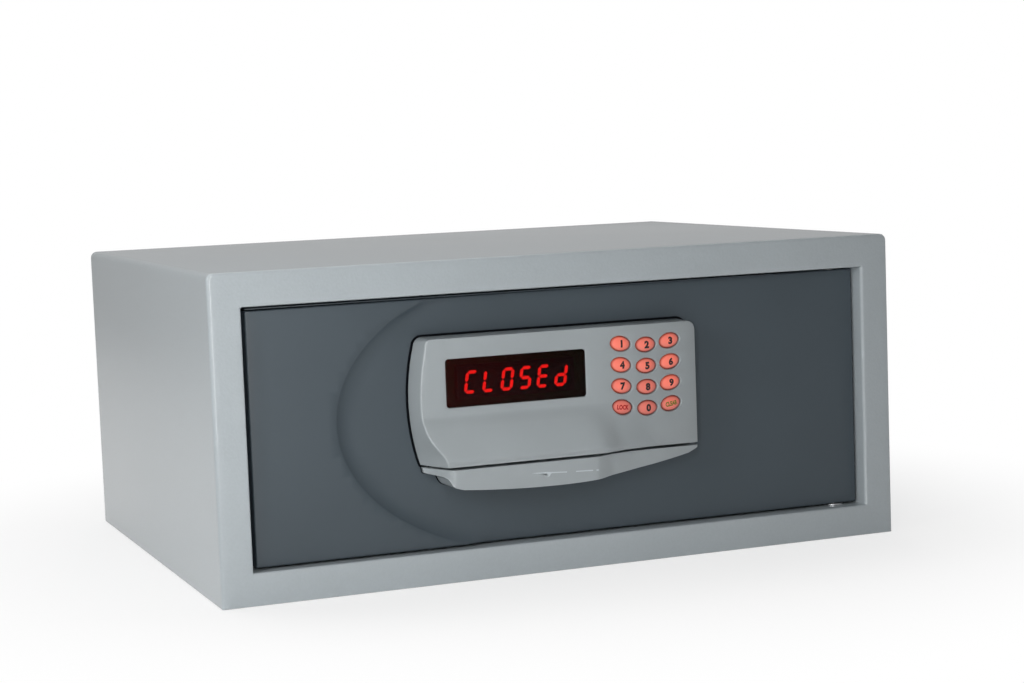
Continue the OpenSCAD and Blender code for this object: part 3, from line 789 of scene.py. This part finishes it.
PANEL_BOW = 134.0               # radius of the panel's left edge
SLOT_GAP = 1.4                  # how far the visible lip stops short of its full height, for the slot
KEY_MIDDLE = 48.8               # x of the middle column
KEY_PITCH = 17.0
KEY_TILT = 10.0                 # degrees that the outer columns lean
KEY_HALF_W = 6.8
KEY_HALF_H = 4.55
KEY_GAP = 0.35
KEY_EDGE = 0.85                 # radius of the panel's edge round each key
KEY_FLANGE = 0.9
KEY_LIGHT = dict(zip(KEYS, (0.5, 1.0, 0.72, 0.78, 1.0, 0.74, 0.95, 0.85, 0.62, 0.95, 0.55, 0.6)))
LIP_WING = 3.2                  # the lip's height at its left end
ARROW = [(-36.0, 66.35), (-31.0, 65.75), (-25.6, 65.45), (-24.2, 63.2), (-22.6, 65.25),
         (-12.2, 64.7), (-12.2, 65.3), (-29.0, 66.3)]
BAR = [(-6.0, 64.5), (9.5, 63.9), (9.5, 64.5), (-6.0, 65.1)]


def left_edge(z):
    """The bowed left edge of the panel at a height."""
    return HOUSING_LOW.x + PANEL_BOW - math.sqrt(PANEL_BOW ** 2 - (z - 114.0) ** 2)


def brow_share(x, z, start=6.0, reach=46.0):
    """How much of the brow's rise a place has: it runs out to the right, steeply and then gently."""
    away = min(1.0, max(0.0, (x - start - (96 - z) * 0.3) / reach))
    return 1 - smooth(away * 2.2) * 0.62 - smooth((away - 0.25) / 0.75) * 0.38


def rise_of(x, z):
    """The panel's height above the pressed door face at a place."""
    panel = settings()[2]
    flat = PRESSED_Y - FACE_Y
    full = PRESSED_Y - HOUSING_LOW.y - 0.4 - flat
    top = panel.crease / MM + 2
    edge = panel.brow_edge / MM
    if z >= top:
        return flat
    share = min(1.0, (top - z) / (top - edge))
    swell = (1 - (1 - share) ** 1.55) * smooth(share * 5.0) ** 0.5
    undercut = min(1.2, 0.9 * (max(0.0, edge - z) / 1.6) ** 2)
    return flat + (full * swell - undercut) * brow_share(x, z)


def panel_depth(x, z):
    """The panel's y at a place."""
    return PRESSED_Y - rise_of(x, z)


def brow_inset(z):
    """How much further in the front edge lies on the left, where the brow stands out."""
    return 3.4 + 6.6 * smooth((101 - z) / 23) ** 1.9


def housing_outline():
    """Front outline of the housing and the matching outline at its base, counter-clockwise."""
    right = HOUSING_HIGH.x
    low = HOUSING_LOW.z
    high = HOUSING_HIGH.z
    left_low = left_edge(low)
    left_high = left_edge(high - 5)
    front = run((left_low + brow_inset(low), low + 0.25), (right - 0.5, low + 0.25), 80)
    base = run((left_low, low), (right, low), 80)
    side = [low + 0.25 + (high - 6.5 - low) * i / 12 for i in range(13)]
    front += [(right - 0.5, z) for z in side] + arc(right - 5.5, high - 6.2, 5.0, 10, 90, 8)
    base += [(right, z) for z in side] + arc(right - 5.5, high - 5.5, 5.5, 10, 90, 8)
    front += run((right - 5.5, high - 1.2), (left_high + 6.2, high - 1.2), 24, 1)
    base += run((right - 5.5, high), (left_high + 5.6, high), 24, 1)
    front += arc(left_high + 6.2, high - 4.4, 3.2, 90, 165, 8)
    base += arc(left_high + 5.6, high - 5.6, 5.6, 90, 172, 8)
    side = [high - 6.2 + (low - high + 6.2) * i / 26 for i in range(1, 26)]
    front += [(left_edge(z) + brow_inset(z), z) for z in side]
    base += [(left_edge(z), z) for z in side]
    return front, base


def walls(mesh, loop, front, base, edge, base_y):
    """The moulding's side: a rounded front edge, then a slightly bowed wall down to the base."""
    last = loop
    for step in range(1, 5):
        turn = math.radians(20 * step)
        points = []
        for vertex, start, end in zip(loop, front, base):
            out = Vector(end) - Vector(start)
            reach = min(edge * math.sin(turn), out.length * 0.5)
            way = out.normalized() * reach if out.length > 1e-6 else Vector((0, 0))
            points.append((start[0] + way.x, vertex.co.y + edge * (1 - math.cos(turn)), start[1] + way.y))
        last = onward(mesh, last, points)
    tops = [vertex.co.copy() for vertex in last]
    for share in (0.15, 0.3, 0.45, 0.6, 0.8, 1.0):
        out = share + 0.05 * math.sin(math.pi * share)
        last = onward(mesh, last, [(top.x + (x - top.x) * out, top.y + (base_y - top.y) * share,
                                    top.z + (z - top.z) * out) for top, (x, z) in zip(tops, base)])
    return last


def rounded_hole(mesh, loop, hole, edge, depth):
    """A hole's mouth with a rounded edge and a straight wall behind it, which ends at depth."""
    last = loop
    for step in range(1, 5):
        turn = math.radians(22.5 * step)
        drop = edge * (1 - math.cos(turn))
        inward = grown(hole, -edge * math.sin(turn))
        last = onward(mesh, last, [(x, vertex.co.y + drop, z) for (x, z), vertex in zip(inward, loop)])
    return onward(mesh, last, [(vertex.co.x, depth, vertex.co.z) for vertex in last])


def key_frame(node):
    """A key's centre (x, z), its front and its tilt, from its construction node."""
    low, high = corners(node)
    centre = (low + high) / 2
    column = round((centre.x - KEY_MIDDLE) / KEY_PITCH)
    return centre.x, centre.z, low.y, KEY_TILT * column


def control_housing():
    """The panel's upper moulding, with its window, key holes and the reader's brow."""
    panel = settings()[2]
    front, base = housing_outline()
    window = round_box(LENS_LOW.x - 0.1, LENS_LOW.z - 0.1, LENS_HIGH.x + 0.1, LENS_HIGH.z + 0.1, 2.0)
    wide = KEY_GAP + KEY_EDGE
    holes = [grown(window, 0.6)]
    for x, z, _, tilt in map(key_frame, KEYS):
        holes.append(oval(x, z, KEY_HALF_W + wide, KEY_HALF_H + wide, tilt, 40))
    lines = []
    for level, steps in ((panel.crease, (2, 1, 0, -1.5)), (panel.brow_edge, (1.2, 0.6, 0, -0.6, -1.2))):
        for z in [level / MM + step for step in steps]:
            start = left_edge(z) + brow_inset(z) + 0.8
            lines.append(run((start, z), (40, z), 50) + [(40, z)])
    # close points over the brow and wider ones above it
    extra = [(-102 + 2 * i, 75.4 + 2 * j) for i in range(75) for j in range(13)]
    extra += [(-102 + 6 * i, 105.5 + 5 * j) for i in range(31) for j in range(10)]
    mesh = bmesh.new()
    loops = patch(mesh, front, holes, lines, panel_depth, extra)
    outer = walls(mesh, loops[0], front, base, panel.edge / MM, BASE_Y)
    back = FACE_Y + 2
    edges = [0.6] + [KEY_EDGE] * len(KEYS)
    backs = [rounded_hole(mesh, loop, hole, soft, back)
             for loop, hole, soft in zip(loops[1:], holes, edges)]
    inner_outline = grown(front, -1.5)
    inner_holes = [[(vertex.co.x, vertex.co.z) for vertex in loop] for loop in backs]
    lid = patch(mesh, inner_outline, inner_holes, [], lambda x, z: back)
    for loop, twin in zip(backs, lid[1:]):
        for vertex, match in zip(loop, twin):
            match.co = vertex.co
    bridge(mesh, onward(mesh, lid[0], at_depth(inner_outline, BASE_Y)), outer)
    bmesh.ops.remove_doubles(mesh, verts=mesh.verts, dist=0.001)
    place(mesh, "panel_housing", "door", "panel_plastic", ("control_housing",), 38.0)


def gasket():
    """The foam seat of the panel on the door: spread past the mouldings and almost black, it shows as a
    thin dark edge that also stands in for the shadow line round the panel, partly painted shade.
    """
    mesh = bmesh.new()
    # spread past the mouldings so that the dark edge shows all round: partly painted shade
    for outline, spread in ((housing_outline()[1], 1.3), (lip_outline()[0], 0.5)):
        loop = grown(outline, spread)
        for side in loft(mesh, [at_depth(loop, BASE_Y), at_depth(loop, PRESSED_Y)]):
            mesh.faces.new(side)
    place(mesh, "panel_seat", "door", "black_foam", ("panel_gasket",))


def lip_low(x):
    """Lower edge of the reader's lip: a long bow, shallower to the left."""
    return 57.0 + (0.00072 if x < -18 else 0.0012) * (x + 18) ** 2


def lip_rise(x, z):
    """The lip's height above the pressed door face at a place."""
    flat = PRESSED_Y - FACE_Y
    full = PRESSED_Y - LIP_LOW.y - 0.6 - flat
    lean = 0.06 * (LIP_HIGH.z - z)
    share = min(1.0, max(0.0, (x + 99.0) / 12.5))
    left = smooth(share) * 0.5 + share * 0.5
    right = brow_share(x, 74.0, 1.0, 36.0)
    body = flat + full * right - lean
    return LIP_WING + (body - LIP_WING) * left


def raised_mark(name, outline):
    """A low raised sign on the lip's face."""
    mesh = bmesh.new()
    face, foot = [[(x, PRESSED_Y - lip_rise(x, z) + drop, z) for x, z in grown(outline[::-1], spread)]
                  for drop, spread in ((-0.18, -0.1), (0.3, 0.1))]
    for loop in loft(mesh, [face, foot]):
        mesh.faces.new(loop)
    bmesh.ops.triangulate(mesh, faces=mesh.faces)
    place(mesh, name, "door", "panel_plastic", material="raised_mark")


def lip_outline():
    """The lip's outline in (x, z), counter-clockwise from its upper left, and the x of both ends."""
    high = LIP_HIGH.z - SLOT_GAP
    right = HOUSING_HIGH.x
    left = left_edge(high)
    outline = [(left, high), (left + 0.7, 69.5), (left + 1.3, 69.1), (-95.0, 68.7), (-91.0, 68.0),
               (-89.4, 67.0), (-88.6, 65.6), (-87.9, 64.0), (-87.0, 62.5), (-85.8, 61.5), (-83.4, 60.7)]
    outline += [(-80 + 3.2 * i, lip_low(-80 + 3.2 * i)) for i in range(50)]
    outline += [(right - 1.2, 70.4), (right - 0.3, 71.2)]
    return outline + run((right - 0.2, high), (left, high), 70), left, right


def reader_lip():
    """The panel's lower moulding, below the card slot, with the floor of the slot."""
    outline, left, right = lip_outline()
    high = outline[0][1]
    front = grown(outline, -0.4)
    mesh = bmesh.new()
    extra = [(-99 + 1.5 * i, 59 + 1.5 * j) for i in range(122) for j in range(10)]
    extra = [point for point in extra if inside(point, grown(outline, -1.0))]
    loops = patch(mesh, front, [], [], lambda x, z: PRESSED_Y - lip_rise(x, z), extra)
    outer = walls(mesh, loops[0], front, outline, 0.7, PRESSED_Y - 0.2)
    mesh.faces.new(outer)
    place(mesh, "slot_lip", "door", "panel_plastic", ("reader_lip",), 38.0)
    # the slot's floor takes the almost black foam colour rather than its black plastic, so the slot reads
    # as a dark line: partly painted shade
    mesh = bmesh.new()
    back = corners("reader_lip")[1].y
    box_between(mesh, (left + 3.5, BASE_Y - 3, high - 0.5), (right - 1.5, back, HOUSING_LOW.z + 0.4))
    place(mesh, "slot_floor", "door", "black_plastic", material="black_foam")
    raised_mark("card_arrow", ARROW)
    raised_mark("card_bar", BAR)


def box_between(mesh, low, high, bevel=0.0):
    """A box from corner to corner, with rounded edges if asked."""
    made = bmesh.ops.create_cube(mesh, size=1.0)["verts"]
    size = Vector(high) - Vector(low)
    for vertex in made:
        vertex.co = Vector(low) + Vector([(vertex.co[i] + 0.5) * size[i] for i in range(3)])
    if bevel:
        edges = {edge for vertex in made for edge in vertex.link_edges}
        bmesh.ops.bevel(mesh, geom=list(edges), offset=bevel, segments=3, profile=0.5, affect="EDGES")


# ---------------------------------------------------------------- display

def segment(letter, x, z, width, height, bar):
    """One segment's six corners, in (x, z), of a digit with its lower left corner at x, z."""
    half = height / 2
    b = bar / 2
    gap = bar * 0.12
    level = {"a": height - b, "g": half, "d": b}
    if letter in level:
        start, end = b + gap, width - b - gap
    elif letter in "bf":
        start, end = half + gap, height - b - gap
    else:
        start, end = b + gap, half - gap
    shape = [(start, 0), (start + b, -b), (end - b, -b), (end, 0), (end - b, b), (start + b, b)]
    if letter in level:
        return [(x + along, z + level[letter] + across) for along, across in shape]
    side = b if letter in "ef" else width - b
    return [(x + side - across, z + along) for along, across in shape]


def display():
    """The filter, the module behind it and its seven-segment digits."""
    height = 14.2
    width = 8.0
    pitch = 12.0
    slant = math.tan(math.radians(9))
    z0 = (MODULE_LOW.z + MODULE_HIGH.z) / 2 - height / 2
    x0 = (MODULE_LOW.x + MODULE_HIGH.x) / 2 - (5 * pitch + width) / 2 - 1
    lit = bmesh.new()
    dark = bmesh.new()
    y = MODULE_LOW.y
    for number, letter in enumerate(DISPLAY_TEXT):
        for part in "abcdefg":
            points = segment(part, x0 + number * pitch, z0, width, height, 1.95)
            points = [(px + (pz - z0) * slant, pz) for px, pz in points]
            mesh = lit if part in SEGMENTS[letter] else dark
            front = ring(mesh, at_depth(points, y - 0.12))
            rim = ring(mesh, at_depth(grown(points, 0.06), y + 0.02))
            mesh.faces.new(front)
            bridge(mesh, front, rim)
            mesh.faces.new(rim)
    place(lit, "display_segments_lit", "door", "black_plastic", material="lit")
    place(dark, "display_segments_unlit", "door", "black_plastic", material="unlit")
    mesh = bmesh.new()
    box_between(mesh, MODULE_LOW, MODULE_HIGH, 0.4)
    place(mesh, "display_block", "door", "black_plastic", ("display_module",))
    outline = round_box(LENS_LOW.x, LENS_LOW.z, LENS_HIGH.x, LENS_HIGH.z, 2.0)
    mesh = bmesh.new()
    steps = ((-0.4, LENS_LOW.y), (-0.1, LENS_LOW.y + 0.15), (0, LENS_LOW.y + 0.5), (0, LENS_HIGH.y))
    rings = loft(mesh, [at_depth(grown(outline, spread), depth) for spread, depth in steps])
    mesh.faces.new(rings[0])
    mesh.faces.new(rings[-1])
    place(mesh, "display_filter", "door", "lens_plastic", ("display_lens",))


# ---------------------------------------------------------------- keys

def key_crown(share, front, dome):
    """Depth of a key's top at a share of the way from its centre to its edge."""
    return front + dome * share ** 2.4


def key_share(dx, dz, tilt):
    """How far towards a key's edge a place lies: 0 at the middle, 1 at the edge."""
    spot = Matrix.Rotation(-math.radians(tilt), 2) @ Vector((dx, dz))
    return math.hypot(spot.x / KEY_HALF_W, spot.y / KEY_HALF_H)


def write_levels(piece, name, level):
    """Stores a number at each of a piece's points, worked out from its x and z in millimetres."""
    layer = piece.data.attributes.new(name, "FLOAT", "POINT")
    for vertex, value in zip(piece.data.vertices, layer.data):
        value.value = level(vertex.co.x / MM, vertex.co.z / MM)


def key_cap(node):
    """One key: a crowned oval cap with a rounded rim, and its flange behind the panel's skin."""
    dome = settings()[2].key_dome / MM
    x, z, front, tilt = key_frame(node)
    back = corners(node)[1].y
    flange = back - 1.0

    def oval_at(depth, spread=0.0, share=1.0):
        return at_depth(oval(x, z, KEY_HALF_W * share + spread, KEY_HALF_H * share + spread, tilt), depth)

    mesh = bmesh.new()
    middle = mesh.verts.new((x, front, z))
    rings = [oval_at(key_crown(share, front, dome), share=share) for share in (0.2, 0.4, 0.58, 0.74, 0.86)]
    edge = key_crown(0.9, front, dome)
    for turn in (0.0, 22.5, 45.0, 67.5, 90.0):
        spot = math.radians(turn)
        rings.append(oval_at(edge + 0.6 * (1 - math.cos(spot)), -0.6 * (1 - math.sin(spot))))
    rings += [oval_at(flange), oval_at(flange, KEY_FLANGE), oval_at(back, KEY_FLANGE)]
    made = loft(mesh, rings)
    first = made[0]
    for i in range(len(first)):
        mesh.faces.new((middle, first[i], first[(i + 1) % len(first)]))
    mesh.faces.new(made[-1])
    piece = place(mesh, node + "_button", node + "_cap", "key_plastic", (node,))

    def glow(at_x, at_z):
        away = key_share(at_x - x + 1.2, at_z - z - 0.4, tilt)
        return KEY_LIGHT[node] * max(0.0, 1 - 0.6 * away ** 2.2)

    write_levels(piece, "glow", glow)
    # how far towards its rim each point lies, which the cap's painted shade follows
    write_levels(piece, "rim", lambda at_x, at_z: key_share(at_x - x, at_z - z, tilt))
    return x, z, front, tilt


# a legend's shift, width, height, turn in degrees and ink; no width keeps the letters' own
DIGIT_LEGEND = (0.5, None, 4.8, 0.0, "ink_black")
LEGENDS = {"LOCK": (0.1, 8.0, 3.1, -5.0, "ink_red"), "CLEAR": (0.1, 8.2, 3.1, 10.0, "ink_green")}


def lettering(text, name, weight):
    """Text as a flat mesh, with letters about 0.7 high."""
    curve = bpy.data.curves.new(name, "FONT")
    curve.body = text
    curve.size = 1.0
    curve.offset = weight
    curve.resolution_u = 4
    helper = linked(name, curve)
    bpy.context.view_layer.update()
    data = bpy.data.meshes.new_from_object(helper.evaluated_get(bpy.context.evaluated_depsgraph_get()))
    bpy.data.objects.remove(helper)
    mesh = bmesh.new()
    mesh.from_mesh(data)
    return mesh


def legend(text, node, key, shift, width, height, turn, material):
    """A printed legend on a key's crown."""
    dome = settings()[2].key_dome / MM
    x, z, front, tilt = key
    mesh = lettering(text, node + "_text", 0.06 if len(text) == 1 else 0.05)
    low, high = [[pick(vertex.co[i] for vertex in mesh.verts) for i in (0, 1)] for pick in (min, max)]
    tall = height / (high[1] - low[1])
    wide = width / (high[0] - low[0]) if width else tall
    for vertex in mesh.verts:
        vertex.co.x = (vertex.co.x - (low[0] + high[0]) / 2) * wide
        vertex.co.y = (vertex.co.y - (low[1] + high[1]) / 2) * tall
    for _ in range(3):
        bmesh.ops.triangulate(mesh, faces=mesh.faces)
        long_edges = [edge for edge in mesh.edges if edge.calc_length() > 0.9]
        bmesh.ops.subdivide_edges(mesh, edges=long_edges, cuts=1)
    bmesh.ops.triangulate(mesh, faces=mesh.faces)
    spin = Matrix.Rotation(math.radians(turn), 2)
    for vertex in mesh.verts:
        spot = spin @ vertex.co.xy + Vector((shift, 0))
        share = key_share(spot.x, spot.y, tilt)
        vertex.co = (x + spot.x, key_crown(share, front, dome) - 0.07, z + spot.y)
    place(mesh, node + "_legend", node + "_cap", "key_plastic", material=material)


def keys():
    """All twelve keys with their legends."""
    for node, text in KEYS.items():
        legend(text, node, key_cap(node), *LEGENDS.get(text, DIGIT_LEGEND))


# ---------------------------------------------------------------- hardware

SOFTENED = {
    "floor_pan": 0.3, "back_panel": 0.3, "bolt_keeper": 0.4, "floor_mat": 0.5, "hinge_washer": 0.3,
    "hinge_spacer": 0.2, "hinge_pin_lower": 0.4, "hinge_pin_upper": 0.4, "hinge_blocks": 0.4,
    "hinge_bushes": 0.2, "mechanism_plate": 0.3, "inner_cover": 0.5, "cover_screws": 0.3,
    "control_board": 0.2, "board_screws": 0.2, "housing_screws": 0.2, "keypad_mat": 0.3,
    "reader_head": 0.4, "ribbon_cable": 0.2, "bolt_guides": 0.5, "lock_motor": 0.6, "motor_screws": 0.3,
    "lock_board": 0.2, "limit_switch": 0.3, "battery_holder": 0.4, "batteries": 0.5,
    "battery_cover": 0.35, "bolt_carriage": 0.3, "locking_bolts": 0.5, "drive_pinion": 0.1,
}


def soften(node, radius):
    """A copy of a construction node with its edges broken, which stands for it."""
    source = frame["nodes"][node]
    slot = next(part["material_slot"] for part in frame["record"]["subparts"] if part["node"] == node)
    mesh = bmesh.new()
    mesh.from_mesh(source.data)
    bmesh.ops.scale(mesh, vec=(1 / MM, 1 / MM, 1 / MM), verts=mesh.verts)
    bmesh.ops.remove_doubles(mesh, verts=mesh.verts, dist=0.002)
    bmesh.ops.dissolve_limit(mesh, angle_limit=math.radians(1.5), verts=mesh.verts, edges=mesh.edges)
    piece = place(mesh, node + "_finished", source["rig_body"], slot, (node,), 30.0)
    bevel = piece.modifiers.new("broken_edges", "BEVEL")
    bevel.width = radius * MM
    bevel.segments = 2
    bevel.limit_method = "ANGLE"
    bevel.angle_limit = math.radians(35)
    bevel.use_clamp_overlap = True
    piece.modifiers.new("weighted_normals", "WEIGHTED_NORMAL").keep_sharp = True


# ---------------------------------------------------------------- stage

PURE_WHITE = (1.0, 1.0, 1.0, 1.0)
MIRROR_WHITE = 0.41             # how much of the white background shows in paint and metal
CAMERA_AT = (-0.5312, -1.41515, 0.27506)
CAMERA_AXES = ((0.92754, -0.37187, -0.03713), (0.06989, 0.07501, 0.99473), (-0.36713, -0.92525, 0.09557))
# name, place, target, width and height, setting, share of its power, whether paint mirrors it
LAMPS = (
    ("main_light", (-0.28, -0.79, 0.27), (0, -0.05, 0.1), (0.16, 0.5), "main_light", 1.0, True),
    ("left_light", (-0.9, -0.6, 0.48), (0, -0.05, 0.1), (0.36, 0.36), "side_light", 1.0, True),
    ("top_light", (0.0, 0.2, 1.7), (0, 0, 0.1), (1.2, 1.2), "top_light", 1.0, True),
    ("back_left_light", (-0.6, 0.5, 1.3), (0, -0.05, 0.1), (0.8, 0.8), "top_light", 0.8, True),
    ("right_light", (1.7, -0.1, 0.6), (0.2, 0, 0.1), (0.8, 0.8), "fill_light", 1.0, False),
    ("back_light", (0.5, 1.7, 0.6), (0, 0.2, 0.1), (0.8, 0.8), "fill_light", 1.0, False),
)


def camera():
    """The camera, at its fitted place."""
    data = bpy.data.cameras.new("camera")
    data.sensor_width = 36.0
    data.lens = 76.15
    made = linked("camera", data)
    made.matrix_world = Matrix.Translation(CAMERA_AT) @ Matrix(CAMERA_AXES).transposed().to_4x4()
    bpy.context.scene.camera = made


def lamp(name, spot, target, size, energy, mirrored):
    """A soft rectangular light that faces the target; the paint may mirror it or not."""
    data = bpy.data.lights.new(name, "AREA")
    data.shape = "RECTANGLE"
    data.size, data.size_y = size
    data.energy = energy
    made = linked(name, data)
    made.location = spot
    made.rotation_euler = (Vector(target) - Vector(spot)).to_track_quat("-Z", "Y").to_euler()
    made.visible_glossy = mirrored


def white_to_view(start, inner, strength):
    """Plain white to the camera and glass, a share of it to mirrors, and the inner shader otherwise."""
    rays = start.node("ShaderNodeLightPath")
    path = {name: Flow(start.tree, rays.socket.node.outputs[name])
            for name in ("Is Camera Ray", "Is Glossy Ray", "Is Transmission Ray")}
    direct = path["Is Camera Ray"].math("MAXIMUM", path["Is Camera Ray"], path["Is Transmission Ray"])
    direct = direct.math("MAXIMUM", direct, path["Is Glossy Ray"] * MIRROR_WHITE)
    return start.node("ShaderNodeMixShader", None, {0: direct * strength, 1: inner[0], 2: inner[1]})


def stage():
    """Floor, sky and lamps."""
    bpy.context.scene.view_settings.view_transform = "Standard"
    look = settings()[3]
    data = bpy.data.meshes.new("floor")
    data.from_pydata([(-6, -6, 0), (6, -6, 0), (6, 6, 0), (-6, 6, 0)], [], [(0, 1, 2, 3)])
    floor = linked("floor", data)
    floor.location.z = -0.0004
    made, start, spot = begin("floor")
    matt = start.node("ShaderNodeBsdfDiffuse", None, {"Color": shade(look.floor)})
    white = start.node("ShaderNodeEmission", None, {"Color": PURE_WHITE, "Strength": 1.0})
    away = spot.stretched(1.0, 1.0, 0.0)
    away = away.node("ShaderNodeVectorMath", {"operation": "LENGTH"}, {0: away}, 1).ramp(0.24, 0.5)
    shown = white_to_view(start, (matt, white), away * 0.3 + 0.7)
    start.node("ShaderNodeOutputMaterial", None, {"Surface": shown})
    data.materials.append(made)
    world = bpy.data.worlds.new("sky")
    bpy.context.scene.world = world
    world.use_nodes = True
    world.node_tree.nodes.clear()
    start = Flow(world.node_tree)
    even = start.node("ShaderNodeBackground", None, {"Color": PURE_WHITE, "Strength": look.sky})
    white = start.node("ShaderNodeBackground", None, {"Color": PURE_WHITE, "Strength": 1.0})
    start.node("ShaderNodeOutputWorld", None, {"Surface": white_to_view(start, (even, white), 1.0)})
    for name, spot, target, size, setting, share, mirrored in LAMPS:
        lamp(name, spot, target, size, getattr(look, setting) * share, mirrored)


# ---------------------------------------------------------------- operators

class SAFE_OT_stage(bpy.types.Operator):
    """Makes the floor, the lights and the camera"""
    bl_idname = "safe.stage"
    bl_label = "Stage"

    def execute(self, context):
        camera()
        stage()
        return {"FINISHED"}


class SAFE_OT_materials(bpy.types.Operator):
    """Makes the paints, plastics and metals"""
    bl_idname = "safe.materials"
    bl_label = "Materials"

    def execute(self, context):
        MATERIALS.update(make_materials())
        return {"FINISHED"}


class SAFE_OT_cabinet(bpy.types.Operator):
    """Makes the welded cabinet shell"""
    bl_idname = "safe.cabinet"
    bl_label = "Cabinet"

    def execute(self, context):
        cabinet_shell()
        return {"FINISHED"}


class SAFE_OT_door(bpy.types.Operator):
    """Makes the door's pressed skin and its tray's edge"""
    bl_idname = "safe.door"
    bl_label = "Door"

    def execute(self, context):
        door_skin()
        top_rail()
        return {"FINISHED"}


class SAFE_OT_panel(bpy.types.Operator):
    """Makes the control panel's mouldings and their seat"""
    bl_idname = "safe.control_panel"
    bl_label = "Control panel"

    def execute(self, context):
        control_housing()
        reader_lip()
        gasket()
        return {"FINISHED"}


class SAFE_OT_display(bpy.types.Operator):
    """Makes the display"""
    bl_idname = "safe.display"
    bl_label = "Display"

    def execute(self, context):
        display()
        return {"FINISHED"}


class SAFE_OT_keys(bpy.types.Operator):
    """Makes the keys and their legends"""
    bl_idname = "safe.keys"
    bl_label = "Keys"

    def execute(self, context):
        keys()
        return {"FINISHED"}


class SAFE_OT_hardware(bpy.types.Operator):
    """Finishes the hinge, lock, battery bay and linings"""
    bl_idname = "safe.hardware"
    bl_label = "Hardware"

    def execute(self, context):
        for node, radius in SOFTENED.items():
            soften(node, radius)
        return {"FINISHED"}


OPERATORS = (SAFE_OT_stage, SAFE_OT_materials, SAFE_OT_cabinet, SAFE_OT_door, SAFE_OT_panel,
             SAFE_OT_display, SAFE_OT_keys, SAFE_OT_hardware)
GROUPS = {"safe_cabinet": CabinetSettings, "safe_door": DoorSettings, "safe_panel": PanelSettings,
          "safe_stage": StageSettings}


class SAFE_PT_sidebar(bpy.types.Panel):
    """Lists the safe's settings and operators in the sidebar"""
    bl_idname = "SAFE_PT_sidebar"
    bl_label = "In-room safe"
    bl_space_type = "VIEW_3D"
    bl_region_type = "UI"
    bl_category = "Safe"

    def draw(self, context):
        for name, group in GROUPS.items():
            box = self.layout.box()
            for setting in group.__annotations__:
                box.prop(getattr(context.scene, name), setting)
        for operator in OPERATORS:
            self.layout.operator(operator.bl_idname)


def register():
    """Adds the classes and the scene's settings."""
    for group in GROUPS.values():
        bpy.utils.register_class(group)
    for made in OPERATORS + (SAFE_PT_sidebar,):
        bpy.utils.register_class(made)
    for name, group in GROUPS.items():
        setattr(bpy.types.Scene, name, PointerProperty(type=group))


def unregister():
    """Takes them away again."""
    for name in GROUPS:
        delattr(bpy.types.Scene, name)
    for made in (SAFE_PT_sidebar,) + OPERATORS[::-1] + tuple(GROUPS.values()):
        bpy.utils.unregister_class(made)


def main():
    """Makes every piece in order."""
    register()
    bpy.ops.safe.stage()
    bpy.ops.safe.materials()
    bpy.ops.safe.cabinet()
    bpy.ops.safe.door()
    bpy.ops.safe.control_panel()
    bpy.ops.safe.display()
    bpy.ops.safe.keys()
    bpy.ops.safe.hardware()


if __name__ == "__main__":
    main()
